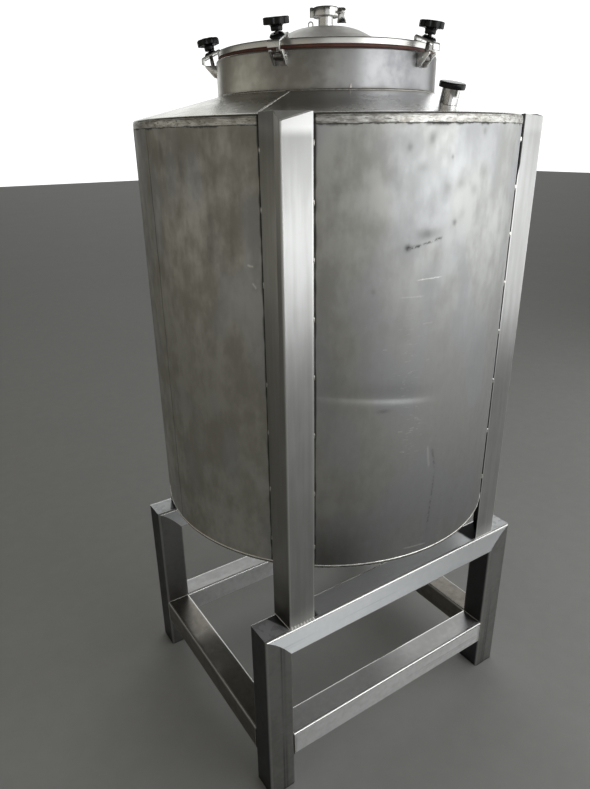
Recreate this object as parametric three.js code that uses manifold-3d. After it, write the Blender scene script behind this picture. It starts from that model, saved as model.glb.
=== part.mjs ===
// Vertical storage tank on a welded tube stand. Millimetres, Z up, floor at Z = 0.
// The axis of the tank is the Z axis, and the front portal of the stand is at -Y.
import * as THREE from 'three';
import { mergeVertices } from 'three/addons/utils/BufferGeometryUtils.js';
import Module from 'manifold-3d';

const wasm = await Module();
wasm.setup();

// Driving dimensions of the stand
const TUBE = 82;
const TUBE_WALL = 3;
const TUBE_ROUND = 7;
const STAND_HALF_X = 470;
const STAND_HALF_Y = 398;
const STAND_TOP = 574;
const LOW_RAIL_TOP = 197;
const FOOT_PLATE = 4;

// Driving dimensions of the vessel
const SHELL_R = 500;
const PLATE = 3;
const SHELL_BOTTOM = 744;
const SHELL_TOP = 1790;
const CONE_ANGLE = THREE.MathUtils.degToRad(14);
const ROOF_LIP = 18;
const BOTTOM_LIP = 9;
const EDGE_ROUND = 7;

// Driving dimensions of the drain
const DRAIN_BORE = 24;
const DRAIN_R = 25.5;
const DRAIN_FLANGE_R = 32;
const DRAIN_FLANGE_EDGE = 3;
const DRAIN_FLANGE_THICK = 5;
const DRAIN_END = 545;

// Driving dimensions of the posts: angle sections whose free edges stand against the shell
const POST_CORNER = 392;
const POST_LEG = 78;
const POST_THICK = 4;
const POST_TOP_CORNER = 1786;
const POST_TOP_EDGE = 1812;

// Driving dimensions of the manway
const NECK_R = 281;
const NECK_TOP = 1946;
const NECK_ROUND = 5;
const SEAT_R = 260;
const GASKET_R = 275.5;
const GASKET_INNER = 262;
const GASKET_THICK = 7;
const GASKET_ROUND = 1.5;
const LID_R = 276;
const LID_SHEET = 3.4;
const LID_RIM = 14;
const LID_EDGE = 3.5;
const CROWN_FOOT = 200;
const CROWN_FLAT = 50;
const CROWN_RISE = 52;

// Driving dimensions of the lid pipe and its clamp, a hinged ring with two ears and a bolt
const PIPE_R = 19;
const PIPE_BORE = 17.5;
const FERRULE_R = 25.25;
const FERRULE_TAPER = 2;
const FERRULE_EDGE = 3;
const LID_PIPE_LENGTH = 36;
const PIPE_FILLET = 1.5;
const PIPE_CLAMP_TURN = THREE.MathUtils.degToRad(-30);
const PIPE_CLAMP_R = 33;
const PIPE_CLAMP_HIGH = 22;
const LIP_R = 22;
const GROOVE_R = 26.5;
const SEAT_GAP = 0.2;
const BARREL_R = 5;
const EAR_PLATE_LENGTH = 18;
const EAR_PLATE_DEPTH = 12;
const EAR_SPLIT = 4;
const WING_BOLT_R = 3;
const WING_BOLT_LENGTH = 34;
const WING_BOLT_REACH = PIPE_CLAMP_R + 7;
const WING_SLOT = 7;
const WING_HUB_R = 5.5;
const WING_HUB_LENGTH = 8;
const WING_SIZE = [2.5, 7, 30];
const WING_DROP = 8;
const WING_HEAD_R = 5;
const WING_HEAD_LENGTH = 4;

// Driving dimensions of the small eye on the lid
const EYE_REACH = 38;
const EYE_RISE = 16;
const EYE_HALF = 5.5;
const EYE_WIRE_R = 1.8;
const EYE_SHOULDER = 6;

// Driving dimensions of the roof nozzle and its cap
const NOZZLE_TURN = THREE.MathUtils.degToRad(-88);
const NOZZLE_REACH = 425;
const NOZZLE_LENGTH = 39;
const NOZZLE_ROOT = 12;
const NOZZLE_EDGE = 4;
const CAP_R = 28;
const CAP_SKIRT = 8;
const CAP_THICK = 4;
const CAP_ROUND = 1.5;

// Driving dimensions of the lid clamps, from the pin and in the plane that runs out from the axis
const CLAMP_COUNT = 5;
const CLAMP_FIRST = THREE.MathUtils.degToRad(-146.5);
const PIN_REACH = 293.5;
const PIN_Z = 1931;
const PIN_R = 4;
const PIN_END = 3;
const EAR_GAP = 24;
const EAR_THICK = 4;
const EAR_RISE = 10.5;
const EAR_DROP = 19;
const EAR_OUT = 19.5;
const EAR_NOSE = 4;
const EAR_ROOT = 8;
const BOLT_TILT = THREE.MathUtils.degToRad(10);
const BOLT_R = 5;
const BOLT_LENGTH = 70;
const BOLT_EYE_R = 9;
const BOLT_EYE_WIDTH = 18;
const ARM_WIDTH = 30;
const ARM_STRIP = 4.2;
const ARM_HOLE_R = 6.5;
const ARM_BEND = 3;
const HEEL_IN = 24.5;
const HEEL_OUT = 28.5;
const HEEL_FOOT = 13;
const HEEL_TOP = 28;
const TOE_IN = -24;
const TOE_OUT = -17.5;
const TOE_TOP = 48;
const KNOB_R = 28.5;
const KNOB_UNDER = 59.5;
const KNOB_TOP = 74.5;
const KNOB_LOBES = 7;
const KNOB_VALLEY = 4.2;
const HUB_R = 13;

// Running gap at pins, and the gap where a piece is cut to its neighbour or rests in a turned group
const RUNNING = 0.4;
const FIT = 0.3;

// Steps of the round shapes
const ROUND_STEPS = 60;
const PIPE_STEPS = 36;
const DRAIN_STEPS = 32;
const CAP_STEPS = 30;
const BOLT_STEPS = 16;
const HUB_STEPS = 20;
const LOBE_STEPS = 6;
const CROWN_STEPS = 5;
const WIRE_STEPS = 14;

const STEEL = { color: 0xb9bab8, roughness: 0.42, metalness: 0.9 };
const STEEL_BRIGHT = { color: 0xc8c8c6, roughness: 0.3, metalness: 0.95 };
const RUBBER_RED = { color: 0x6b3a2e, roughness: 0.7, metalness: 0 };
const PLASTIC_BLACK = { color: 0x101012, roughness: 0.35, metalness: 0 };

const QUARTER = Math.PI / 2;
const MERGE_DISTANCE = 1e-4;
const FAR = 400;

const tank = new THREE.Group();
tank.name = 'storage_tank';

// A named mesh with its own material
function place(name, geometry, look) {
  const mesh = new THREE.Mesh(geometry, new THREE.MeshStandardMaterial(look));
  mesh.name = name;
  tank.add(mesh);
  return mesh;
}

// A geometry as a solid for cuts and joins, with its shared vertices merged
function solid(geometry) {
  const bare = geometry.clone();
  bare.deleteAttribute('normal');
  bare.deleteAttribute('uv');
  const merged = mergeVertices(bare, MERGE_DISTANCE);
  return new wasm.Manifold(new wasm.Mesh({
    numProp: 3,
    vertProperties: new Float32Array(merged.attributes.position.array),
    triVerts: new Uint32Array(merged.index.array),
  }));
}

// A solid as a geometry again
function surface(body) {
  const mesh = body.getMesh();
  const geometry = new THREE.BufferGeometry();
  geometry.setAttribute('position', new THREE.BufferAttribute(Float32Array.from(mesh.vertProperties), 3));
  geometry.setIndex(new THREE.BufferAttribute(Uint32Array.from(mesh.triVerts), 1));
  const flat = geometry.toNonIndexed();
  flat.computeVertexNormals();
  return flat;
}

function join(parts) {
  return parts.map(solid).reduce((whole, part) => whole.add(part));
}

function cut(body, tools) {
  return tools.map(solid).reduce((rest, tool) => rest.subtract(tool), body);
}

function box(sx, sy, sz, x, y, z) {
  return new THREE.BoxGeometry(sx, sy, sz).translate(x, y, z);
}

// A cylinder along Z from one height to another
function rod(radius, from, to, steps) {
  const length = to - from;
  return new THREE.CylinderGeometry(radius, radius, length, steps)
    .rotateX(QUARTER).translate(0, 0, from + length / 2);
}

// A cylinder along Y, centred on its own middle
function crossRod(radius, length, steps) {
  return new THREE.CylinderGeometry(radius, radius, length, steps);
}

// A turned shape: its profile lists [radius, height] from axis to axis
function turned(points, steps = ROUND_STEPS) {
  const profile = points.map(([r, z]) => new THREE.Vector2(r, z));
  return new THREE.LatheGeometry(profile, steps).rotateX(QUARTER);
}

// A turned ring: its profile is listed anticlockwise and closes on itself
function ring(points, steps = ROUND_STEPS) {
  return turned([...points, points[0]], steps);
}

// Points of an arc, with both ends
function arc(r, z, radius, from, to, steps) {
  return Array.from({ length: steps + 1 }, (_, i) => {
    const angle = from + (to - from) * i / steps;
    return [r + radius * Math.cos(angle), z + radius * Math.sin(angle)];
  });
}

function outline(points) {
  return points.map(([x, y]) => new THREE.Vector2(x, y));
}

// A flat outline in X and Z, given a thickness along Y
function plate(points, thickness) {
  const shape = new THREE.Shape(outline(points));
  const geometry = new THREE.ExtrudeGeometry(shape, { depth: thickness, bevelEnabled: false });
  return geometry.translate(0, 0, -thickness / 2).rotateX(QUARTER);
}

// Stand: two mitred portals, front and back, tied by four low rails
function roundedSquare(side, radius, steps) {
  const flat = side / 2 - radius;
  return [[1, -1], [1, 1], [-1, 1], [-1, -1]].flatMap(([sx, sy], corner) => (
    arc(sx * flat, sy * flat, radius, (corner - 1) * QUARTER, corner * QUARTER, steps)));
}

// Square tube along Z, centred on its own middle
function tube(length) {
  const shape = new THREE.Shape(outline(roundedSquare(TUBE, TUBE_ROUND, 3)));
  const bore = roundedSquare(TUBE - 2 * TUBE_WALL, TUBE_ROUND - TUBE_WALL, 1);
  shape.holes.push(new THREE.Path(outline(bore)));
  const geometry = new THREE.ExtrudeGeometry(shape, { depth: length, bevelEnabled: false });
  return geometry.translate(0, 0, -length / 2);
}

// The plate that closes the foot of a leg
function footPlate() {
  const shape = new THREE.Shape(outline(roundedSquare(TUBE, TUBE_ROUND, 3)));
  return new THREE.ExtrudeGeometry(shape, { depth: FOOT_PLATE, bevelEnabled: false });
}

// A wedge beyond the 45 degree mitre at a top corner: above it for a leg, below it for a rail
function mitreTool(side, above) {
  const x = side * STAND_HALF_X;
  const third = above ? [x - side * FAR, STAND_TOP + FAR] : [x + side * FAR, STAND_TOP - FAR];
  return plate([[x + side * FAR, STAND_TOP + FAR], [x - side * FAR, STAND_TOP - FAR], third], 2 * TUBE);
}

const legX = STAND_HALF_X - TUBE / 2;
const legY = STAND_HALF_Y - TUBE / 2;
const lowRailZ = LOW_RAIL_TOP - TUBE / 2;
const hands = [['left', -1], ['right', 1]];
const banks = [['front', -1], ['back', 1]];

function addPortal(bank, sy) {
  for (const [hand, sx] of hands) {
    const leg = join([tube(STAND_TOP).translate(0, 0, STAND_TOP / 2), footPlate()]);
    const trimmed = cut(leg, [mitreTool(sx, true).translate(-sx * legX, 0, 0)]);
    place(`leg_${bank}_${hand}`, surface(trimmed), STEEL).position.set(sx * legX, sy * legY, 0);
  }
  const rail = tube(2 * STAND_HALF_X).rotateY(QUARTER).translate(0, 0, STAND_TOP - TUBE / 2);
  const trimmed = cut(solid(rail), [mitreTool(-1, false), mitreTool(1, false)]);
  place(`top_rail_${bank}`, surface(trimmed), STEEL).position.y = sy * legY;
}

function addLowRails() {
  for (const [bank, sy] of banks) {
    const rail = tube(2 * (STAND_HALF_X - TUBE)).rotateY(QUARTER);
    place(`low_rail_${bank}`, rail, STEEL).position.set(0, sy * legY, lowRailZ);
  }
  for (const [hand, sx] of hands) {
    const rail = tube(2 * (STAND_HALF_Y - TUBE)).rotateX(QUARTER);
    place(`low_rail_${hand}`, rail, STEEL).position.set(sx * legX, 0, lowRailZ);
  }
}

// Post: an angle section cut to follow the shell, with a top that falls towards its corner
function addPost(name, sx, sy) {
  const height = POST_TOP_EDGE - STAND_TOP;
  const middle = STAND_TOP + height / 2;
  const legMid = POST_CORNER - POST_LEG / 2;
  const thinMid = POST_CORNER - POST_THICK / 2;
  const faceX = box(POST_LEG, POST_THICK, height, sx * legMid, sy * thinMid, middle);
  const faceY = box(POST_THICK, POST_LEG, height, sx * thinMid, sy * legMid, middle);
  const shellCore = rod(SHELL_R + FIT, STAND_TOP + TUBE, SHELL_TOP + FAR, ROUND_STEPS);
  const slope = Math.atan2(POST_TOP_EDGE - POST_TOP_CORNER, POST_LEG / Math.SQRT2);
  const topTool = box(FAR, FAR, FAR, 0, 0, FAR / 2).rotateY(slope).rotateZ(Math.atan2(sy, sx))
    .translate(sx * POST_CORNER, sy * POST_CORNER, POST_TOP_CORNER);
  place(name, surface(cut(join([faceX, faceY]), [shellCore, topTool])), STEEL);
}

// Vessel: a cylinder with a cone head at each end, both heads with a turned edge
function coneRise(r, lip) {
  return lip + (SHELL_R - r) * Math.tan(CONE_ANGLE);
}

// Half section of a head: [radius, distance beyond the end of the shell]
function headProfile(lip, innerR) {
  const centre = lip - EDGE_ROUND * (1 - Math.sin(CONE_ANGLE)) / Math.cos(CONE_ANGLE);
  const turn = QUARTER - CONE_ANGLE;
  const outerEdge = arc(SHELL_R - EDGE_ROUND, centre, EDGE_ROUND, 0, turn, 2);
  const innerEdge = arc(SHELL_R - EDGE_ROUND, centre, EDGE_ROUND - PLATE, turn, 0, 1);
  const top = coneRise(innerR, lip);
  return [[SHELL_R - PLATE, 0], [SHELL_R, 0], ...outerEdge,
    [innerR, top], [innerR, top - PLATE / Math.cos(CONE_ANGLE)], ...innerEdge];
}

const roofZ = (r) => SHELL_TOP + coneRise(r, ROOF_LIP);
const bottomZ = (r) => SHELL_BOTTOM - coneRise(r, BOTTOM_LIP);

function addVessel() {
  place('shell', ring([[SHELL_R - PLATE, SHELL_BOTTOM], [SHELL_R, SHELL_BOTTOM],
    [SHELL_R, SHELL_TOP], [SHELL_R - PLATE, SHELL_TOP]]), STEEL);
  const roof = headProfile(ROOF_LIP, NECK_R - PLATE).map(([r, rise]) => [r, SHELL_TOP + rise]);
  place('roof_cone', ring(roof), STEEL);
  const bottom = headProfile(BOTTOM_LIP, DRAIN_BORE).map(([r, rise]) => [r, SHELL_BOTTOM - rise]);
  place('bottom_head', ring(bottom.reverse()), STEEL);
}

// Drain: a ferrule with a flange, under the middle of the bottom head
function addDrain() {
  const flangeTop = DRAIN_END + DRAIN_FLANGE_THICK;
  place('drain_ferrule', ring([
    [DRAIN_BORE, DRAIN_END], [DRAIN_FLANGE_R, DRAIN_END], [DRAIN_FLANGE_R, DRAIN_END + DRAIN_FLANGE_EDGE],
    [DRAIN_R, flangeTop], [DRAIN_R, bottomZ(DRAIN_R) - FIT], [DRAIN_BORE, bottomZ(DRAIN_BORE) - FIT],
  ], DRAIN_STEPS), STEEL);
}

// Manway: a neck with a turned-in seat, a seal and a lid with a raised crown
const lidBase = NECK_TOP + GASKET_THICK;
const lidFlat = lidBase + LID_RIM;
const crownZ = lidFlat + CROWN_RISE;

function addNeck() {
  const bend = NECK_TOP - NECK_ROUND;
  place('manway_neck', ring([
    [NECK_R, roofZ(NECK_R) + FIT], ...arc(NECK_R - NECK_ROUND, bend, NECK_ROUND, 0, QUARTER, 2),
    [SEAT_R, NECK_TOP], [SEAT_R, NECK_TOP - PLATE], [NECK_R - NECK_ROUND, NECK_TOP - PLATE],
    [NECK_R - PLATE, bend], [NECK_R - PLATE, roofZ(NECK_R - PLATE) + FIT],
  ]), STEEL);
}

function addGasket() {
  const edge = GASKET_R - GASKET_ROUND;
  place('lid_gasket', ring([
    [GASKET_INNER, NECK_TOP], [edge, NECK_TOP], [GASKET_R, NECK_TOP + GASKET_ROUND],
    [GASKET_R, lidBase - GASKET_ROUND], [edge, lidBase], [GASKET_INNER, lidBase],
  ]), RUBBER_RED);
}

// The crown rises from its foot to its flat top along half a cosine wave
function crownCurve(drop) {
  return Array.from({ length: CROWN_STEPS + 1 }, (_, i) => {
    const share = i / CROWN_STEPS;
    const rise = 0.5 + 0.5 * Math.cos(Math.PI * share);
    return [CROWN_FLAT + (CROWN_FOOT - CROWN_FLAT) * share, lidFlat + CROWN_RISE * rise - drop];
  });
}

function addLid() {
  place('lid', ring([
    [LID_R - LID_SHEET, lidBase], [LID_R, lidBase],
    ...arc(LID_R - LID_EDGE, lidFlat - LID_EDGE, LID_EDGE, 0, QUARTER, 2),
    ...crownCurve(0).reverse(), [PIPE_BORE, crownZ], [PIPE_BORE, crownZ - LID_SHEET],
    ...crownCurve(LID_SHEET), [LID_R - LID_SHEET, lidFlat - LID_SHEET],
  ]), STEEL_BRIGHT);
}

// Lid pipe with its ferrule and blank cap, whose tapers meet face to face
const ferruleZ = crownZ + LID_PIPE_LENGTH;
const taperStart = PIPE_R + PIPE_FILLET;
const taperHigh = FERRULE_TAPER + FERRULE_EDGE;

function addLidPipe() {
  place('lid_pipe', ring([
    [PIPE_BORE, crownZ], [PIPE_R, crownZ], [PIPE_R, ferruleZ - taperHigh - PIPE_FILLET],
    [taperStart, ferruleZ - taperHigh], [FERRULE_R, ferruleZ - FERRULE_EDGE],
    [FERRULE_R, ferruleZ], [PIPE_BORE, ferruleZ],
  ], PIPE_STEPS), STEEL_BRIGHT);
  place('lid_pipe_cap', turned([
    [0, ferruleZ], [FERRULE_R, ferruleZ], [FERRULE_R, ferruleZ + FERRULE_EDGE],
    [taperStart, ferruleZ + taperHigh], [PIPE_R, ferruleZ + taperHigh + PIPE_FILLET],
    [0, ferruleZ + taperHigh + PIPE_FILLET],
  ], PIPE_STEPS), STEEL_BRIGHT);
}

// Pipe clamp: a ring whose groove follows both tapers, with a hinge barrel and two slotted ears
function addPipeClamp() {
  const low = ferruleZ - PIPE_CLAMP_HIGH / 2;
  const high = ferruleZ + PIPE_CLAMP_HIGH / 2;
  const flank = (r) => taperHigh - FERRULE_TAPER * (r - taperStart) / (FERRULE_R - taperStart) + SEAT_GAP;
  const clampRing = ring([
    [LIP_R, low], [PIPE_CLAMP_R, low], [PIPE_CLAMP_R, high], [LIP_R, high],
    [LIP_R, ferruleZ + flank(LIP_R)], [GROOVE_R, ferruleZ + flank(GROOVE_R)],
    [GROOVE_R, ferruleZ - flank(GROOVE_R)], [LIP_R, ferruleZ - flank(LIP_R)],
  ], PIPE_STEPS);
  const earEnd = PIPE_CLAMP_R + EAR_PLATE_LENGTH;
  const plateMid = PIPE_CLAMP_R + (EAR_PLATE_LENGTH - BARREL_R) / 2;
  const earPlate = box(EAR_PLATE_LENGTH + BARREL_R, EAR_PLATE_DEPTH, PIPE_CLAMP_HIGH, plateMid, 0, ferruleZ);
  const barrel = rod(BARREL_R, low, high, BOLT_STEPS).translate(-PIPE_CLAMP_R - BARREL_R / 2, 0, 0);
  const split = box(2 * EAR_PLATE_LENGTH, EAR_SPLIT, FAR, earEnd, 0, ferruleZ);
  const slotStart = WING_BOLT_REACH - WING_SLOT / 2;
  const slot = box(FAR, FAR, WING_SLOT, slotStart + FAR / 2, 0, ferruleZ);
  const clamp = cut(join([clampRing, earPlate, barrel]), [split, slot]);
  place('lid_pipe_clamp', surface(clamp), STEEL_BRIGHT).rotation.z = PIPE_CLAMP_TURN;
}

// Bolt across the ears with a wing nut that hangs on the near side
function addWingNut() {
  const earFace = EAR_PLATE_DEPTH / 2 + FIT;
  const [wide, deep, tall] = WING_SIZE;
  const boltStart = earFace + WING_HEAD_LENGTH / 2;
  const bolt = crossRod(WING_BOLT_R, WING_BOLT_LENGTH, BOLT_STEPS)
    .translate(WING_BOLT_REACH, boltStart - WING_BOLT_LENGTH / 2, ferruleZ);
  const hub = crossRod(WING_HUB_R, WING_HUB_LENGTH, BOLT_STEPS)
    .translate(WING_BOLT_REACH, -earFace - WING_HUB_LENGTH / 2, ferruleZ);
  const wings = box(wide, deep, tall, WING_BOLT_REACH, -earFace - WING_HUB_LENGTH + deep / 3, ferruleZ - WING_DROP);
  const head = crossRod(WING_HEAD_R, WING_HEAD_LENGTH, 6)
    .translate(WING_BOLT_REACH, earFace + WING_HEAD_LENGTH / 2, ferruleZ);
  const set = surface(join([bolt, hub, wings, head]));
  place('lid_pipe_wing_nut', set, STEEL_BRIGHT).rotation.z = PIPE_CLAMP_TURN;
}

// Small bent eye on the crown of the lid, cut where it stands on the crown
function addLidEye() {
  const shoulder = crownZ + EYE_RISE - EYE_SHOULDER;
  const path = new THREE.CatmullRomCurve3([
    [-EYE_HALF, crownZ - EYE_SHOULDER], [-EYE_HALF, shoulder], [0, crownZ + EYE_RISE],
    [EYE_HALF, shoulder], [EYE_HALF, crownZ - EYE_SHOULDER],
  ].map(([x, z]) => new THREE.Vector3(x - EYE_REACH, 0, z)));
  const wire = new THREE.Shape(outline(arc(0, 0, EYE_WIRE_R, 0, 2 * Math.PI, 8).slice(1)));
  const bend = new THREE.ExtrudeGeometry(wire, { steps: WIRE_STEPS, extrudePath: path });
  const crown = rod(CROWN_FOOT, lidFlat, crownZ + FIT, BOLT_STEPS);
  place('lid_eye', surface(cut(solid(bend), [crown])), STEEL_BRIGHT).rotation.z = PIPE_CLAMP_TURN;
}

// Roof nozzle, square to the cone and cut to it, with a push-on cap
function onNozzle(geometry) {
  return geometry.rotateY(CONE_ANGLE).translate(NOZZLE_REACH, 0, roofZ(NOZZLE_REACH));
}

function addNozzle() {
  const roofBlock = turned([
    [0, SHELL_TOP], [SHELL_R, SHELL_TOP], [SHELL_R, roofZ(SHELL_R) + FIT], [0, roofZ(0) + FIT],
  ]).rotateZ(-NOZZLE_TURN);
  const pipe = onNozzle(ring([
    [PIPE_BORE, -NOZZLE_ROOT], [PIPE_R, -NOZZLE_ROOT],
    [PIPE_R, NOZZLE_LENGTH - NOZZLE_EDGE - FERRULE_TAPER], [FERRULE_R, NOZZLE_LENGTH - NOZZLE_EDGE],
    [FERRULE_R, NOZZLE_LENGTH], [PIPE_BORE, NOZZLE_LENGTH],
  ], CAP_STEPS));
  place('roof_nozzle', surface(cut(solid(pipe), [roofBlock])), STEEL).rotation.z = NOZZLE_TURN;
}

function addNozzleCap() {
  const top = NOZZLE_LENGTH + CAP_THICK;
  const skirt = NOZZLE_LENGTH - CAP_SKIRT;
  const inside = FERRULE_R + FIT;
  const cap = onNozzle(turned([
    [0, NOZZLE_LENGTH + FIT], [inside, NOZZLE_LENGTH + FIT], [inside, skirt],
    [CAP_R - CAP_ROUND, skirt], [CAP_R, skirt + CAP_ROUND],
    ...arc(CAP_R - CAP_THICK, top - CAP_THICK, CAP_THICK, 0, QUARTER, 3), [0, top],
  ], CAP_STEPS));
  place('roof_nozzle_cap', cap, PLASTIC_BLACK).rotation.z = NOZZLE_TURN;
}

// Lid clamps: each is made in the plane of X and Z about its pin, then turned to its place
function placeClamp(name, body, look, turn) {
  const mesh = place(name, surface(body), look);
  mesh.position.set(PIN_REACH * Math.cos(turn), PIN_REACH * Math.sin(turn), PIN_Z);
  mesh.rotation.z = turn;
}

// Bracket: two ears welded to the neck, with the pin across them, cut by the neck as it stands
function bracketSolid(turn) {
  const root = NECK_R - PIN_REACH - EAR_ROOT;
  const ear = [[root, -EAR_DROP], [-EAR_NOSE, -EAR_DROP], [EAR_OUT, EAR_RISE - EAR_NOSE],
    [EAR_OUT, EAR_RISE], [root, EAR_RISE]];
  const ears = [-1, 1].map((side) => plate(ear, EAR_THICK).translate(0, side * (EAR_GAP + EAR_THICK) / 2, 0));
  const pin = crossRod(PIN_R, EAR_GAP + 2 * (EAR_THICK + PIN_END), BOLT_STEPS);
  const neckCore = rod(NECK_R + FIT, -FAR, FAR, ROUND_STEPS).rotateZ(-turn).translate(-PIN_REACH, 0, 0);
  return cut(join([...ears, pin]), [neckCore]);
}

// Swing bolt: an eye that turns on the pin, and a shank that leans out
function boltSolid() {
  const eye = crossRod(BOLT_EYE_R, BOLT_EYE_WIDTH, BOLT_STEPS);
  const hole = crossRod(PIN_R + RUNNING, FAR, BOLT_STEPS);
  const shank = rod(BOLT_R, BOLT_EYE_R / 2, BOLT_LENGTH, BOLT_STEPS).rotateY(BOLT_TILT);
  return cut(join([eye, shank]), [hole]);
}

// Arm: a bent strip from a foot outside the ears, up over the bolt, to a toe on the lid
const heelCorner = HEEL_OUT - ARM_BEND / 2;
const armSlope = Math.atan2(TOE_TOP - HEEL_TOP, heelCorner - TOE_OUT);

function armSolid() {
  const under = ARM_STRIP / Math.cos(armSlope);
  const toeTip = lidFlat + FIT - PIN_Z;
  const toeFace = TOE_OUT - ARM_BEND / 2;
  const profile = [
    [HEEL_IN, HEEL_FOOT], [HEEL_OUT, HEEL_FOOT], [HEEL_OUT, HEEL_TOP - ARM_BEND], [heelCorner, HEEL_TOP],
    [TOE_OUT, TOE_TOP], [TOE_OUT - ARM_BEND, TOE_TOP], [TOE_IN + 1, TOE_TOP - ARM_BEND], [TOE_IN, toeTip],
    [toeFace, toeTip], [toeFace + 1, TOE_TOP - under - ARM_BEND], [TOE_OUT + ARM_BEND, TOE_TOP - under - 1],
    [HEEL_IN, HEEL_TOP - under + (heelCorner - HEEL_IN) * Math.tan(armSlope)],
  ];
  const hole = rod(ARM_HOLE_R, BOLT_EYE_R, BOLT_LENGTH, BOLT_STEPS).rotateY(BOLT_TILT);
  return cut(solid(plate(profile, ARM_WIDTH)), [hole]);
}

// Star knob: a lobed head whose hub starts where its uphill edge just clears the arm
function knobSolid() {
  const steps = KNOB_LOBES * LOBE_STEPS;
  const star = Array.from({ length: steps }, (_, i) => {
    const angle = 2 * Math.PI * i / steps;
    const wave = (0.5 - 0.5 * Math.cos(KNOB_LOBES * angle)) ** 2;
    const r = KNOB_R - KNOB_VALLEY * wave;
    return [r * Math.cos(angle), r * Math.sin(angle)];
  });
  const head = new THREE.ExtrudeGeometry(new THREE.Shape(outline(star)), {
    depth: KNOB_TOP - KNOB_UNDER, bevelEnabled: false,
  }).translate(0, 0, KNOB_UNDER);
  const lean = armSlope - BOLT_TILT;
  const armOffset = Math.sin(armSlope) * heelCorner + Math.cos(armSlope) * HEEL_TOP;
  const hubStart = (armOffset + HUB_R * Math.sin(lean) + 2 * FIT) / Math.cos(lean);
  const hub = rod(HUB_R, hubStart, KNOB_UNDER + 1, HUB_STEPS);
  const bore = rod(BOLT_R + RUNNING, 0, BOLT_LENGTH + FIT, BOLT_STEPS);
  return cut(join([head, hub]), [bore]).rotate([0, THREE.MathUtils.radToDeg(BOLT_TILT), 0]);
}

function addClamp(index) {
  const turn = CLAMP_FIRST + index * 2 * Math.PI / CLAMP_COUNT;
  const label = `clamp_${index + 1}`;
  placeClamp(`${label}_bracket`, bracketSolid(turn), STEEL, turn);
  placeClamp(`${label}_bolt`, boltSolid(), STEEL_BRIGHT, turn);
  placeClamp(`${label}_arm`, armSolid(), STEEL_BRIGHT, turn);
  placeClamp(`${label}_knob`, knobSolid(), PLASTIC_BLACK, turn);
}

for (const [bank, sy] of banks) {
  addPortal(bank, sy);
  for (const [hand, sx] of hands) {
    addPost(`post_${bank}_${hand}`, sx, sy);
  }
}
addLowRails();
addVessel();
addDrain();
addNeck();
addGasket();
addLid();
addLidPipe();
addPipeClamp();
addWingNut();
addLidEye();
addNozzle();
addNozzleCap();
for (let index = 0; index < CLAMP_COUNT; index += 1) {
  addClamp(index);
}

export default tank;
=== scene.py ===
# %% [markdown]
# # A steel storage tank on a tube stand
# The measured model comes first and stays fixed. It says where every part is and what moves with what.
# This lesson gives each part its real surface: rolled edges, bent corners, weld beads, grain and marks.

# %% Load the measured model
import math
import bmesh
import bpy
import numpy as np
from mathutils import Matrix, Vector


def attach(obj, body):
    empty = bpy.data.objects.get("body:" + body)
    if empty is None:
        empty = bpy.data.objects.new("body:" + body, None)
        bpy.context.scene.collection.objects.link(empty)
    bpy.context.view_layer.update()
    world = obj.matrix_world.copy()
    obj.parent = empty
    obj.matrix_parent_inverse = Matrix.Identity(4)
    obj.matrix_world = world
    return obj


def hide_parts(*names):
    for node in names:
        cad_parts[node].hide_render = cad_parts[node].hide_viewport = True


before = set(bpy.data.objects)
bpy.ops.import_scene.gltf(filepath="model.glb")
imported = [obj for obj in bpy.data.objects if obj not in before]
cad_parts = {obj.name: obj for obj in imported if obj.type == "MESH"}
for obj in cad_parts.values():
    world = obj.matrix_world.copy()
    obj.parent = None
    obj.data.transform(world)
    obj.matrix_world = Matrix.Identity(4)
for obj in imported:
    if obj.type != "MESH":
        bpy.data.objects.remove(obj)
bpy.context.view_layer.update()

# %% [markdown]
# ## The camera
# A camera in Blender is an object, so its place and its turn are one matrix. Its columns are the directions
# to the right, up and back. They were fitted to the picture: the camera stands at eye height, in front on
# the left, and looks 22 degrees down. The focal length is in pixels of the picture, so it is scaled.

# %% Camera
PICTURE_HIGH = 789
FOCAL_PIXELS = 621.03
SENSOR_HIGH = 36
EYE = Vector((-1.0691, -1.4659, 1.7601))
YAW = math.radians(33.213)
PITCH = math.radians(22.302)
ROLL = math.radians(-0.84)

ahead = Vector((math.sin(YAW) * math.cos(PITCH), math.cos(YAW) * math.cos(PITCH), -math.sin(PITCH)))
level_right = Vector((math.cos(YAW), -math.sin(YAW), 0))
level_up = level_right.cross(ahead)
right = math.cos(ROLL) * level_right + math.sin(ROLL) * level_up
up = math.cos(ROLL) * level_up - math.sin(ROLL) * level_right

camera_data = bpy.data.cameras.new("eye")
camera_data.sensor_fit = "VERTICAL"
camera_data.sensor_height = SENSOR_HIGH
camera_data.lens = FOCAL_PIXELS / PICTURE_HIGH * SENSOR_HIGH
camera = bpy.data.objects.new("eye", camera_data)
bpy.context.scene.collection.objects.link(camera)
camera.matrix_world = Matrix((
    (right.x, up.x, -ahead.x, EYE.x),
    (right.y, up.y, -ahead.y, EYE.y),
    (right.z, up.z, -ahead.z, EYE.z),
    (0, 0, 0, 1),
))
bpy.context.scene.camera = camera
print("lens in millimetres:", round(camera_data.lens, 2))

# %% [markdown]
# ## Shader maths as plain expressions
# A shader is a graph of nodes, which is slow to write out by hand. Here one small class holds a socket of the
# graph and overloads + - * and the rest, so `1 - mask` adds its Math node by itself.

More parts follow.
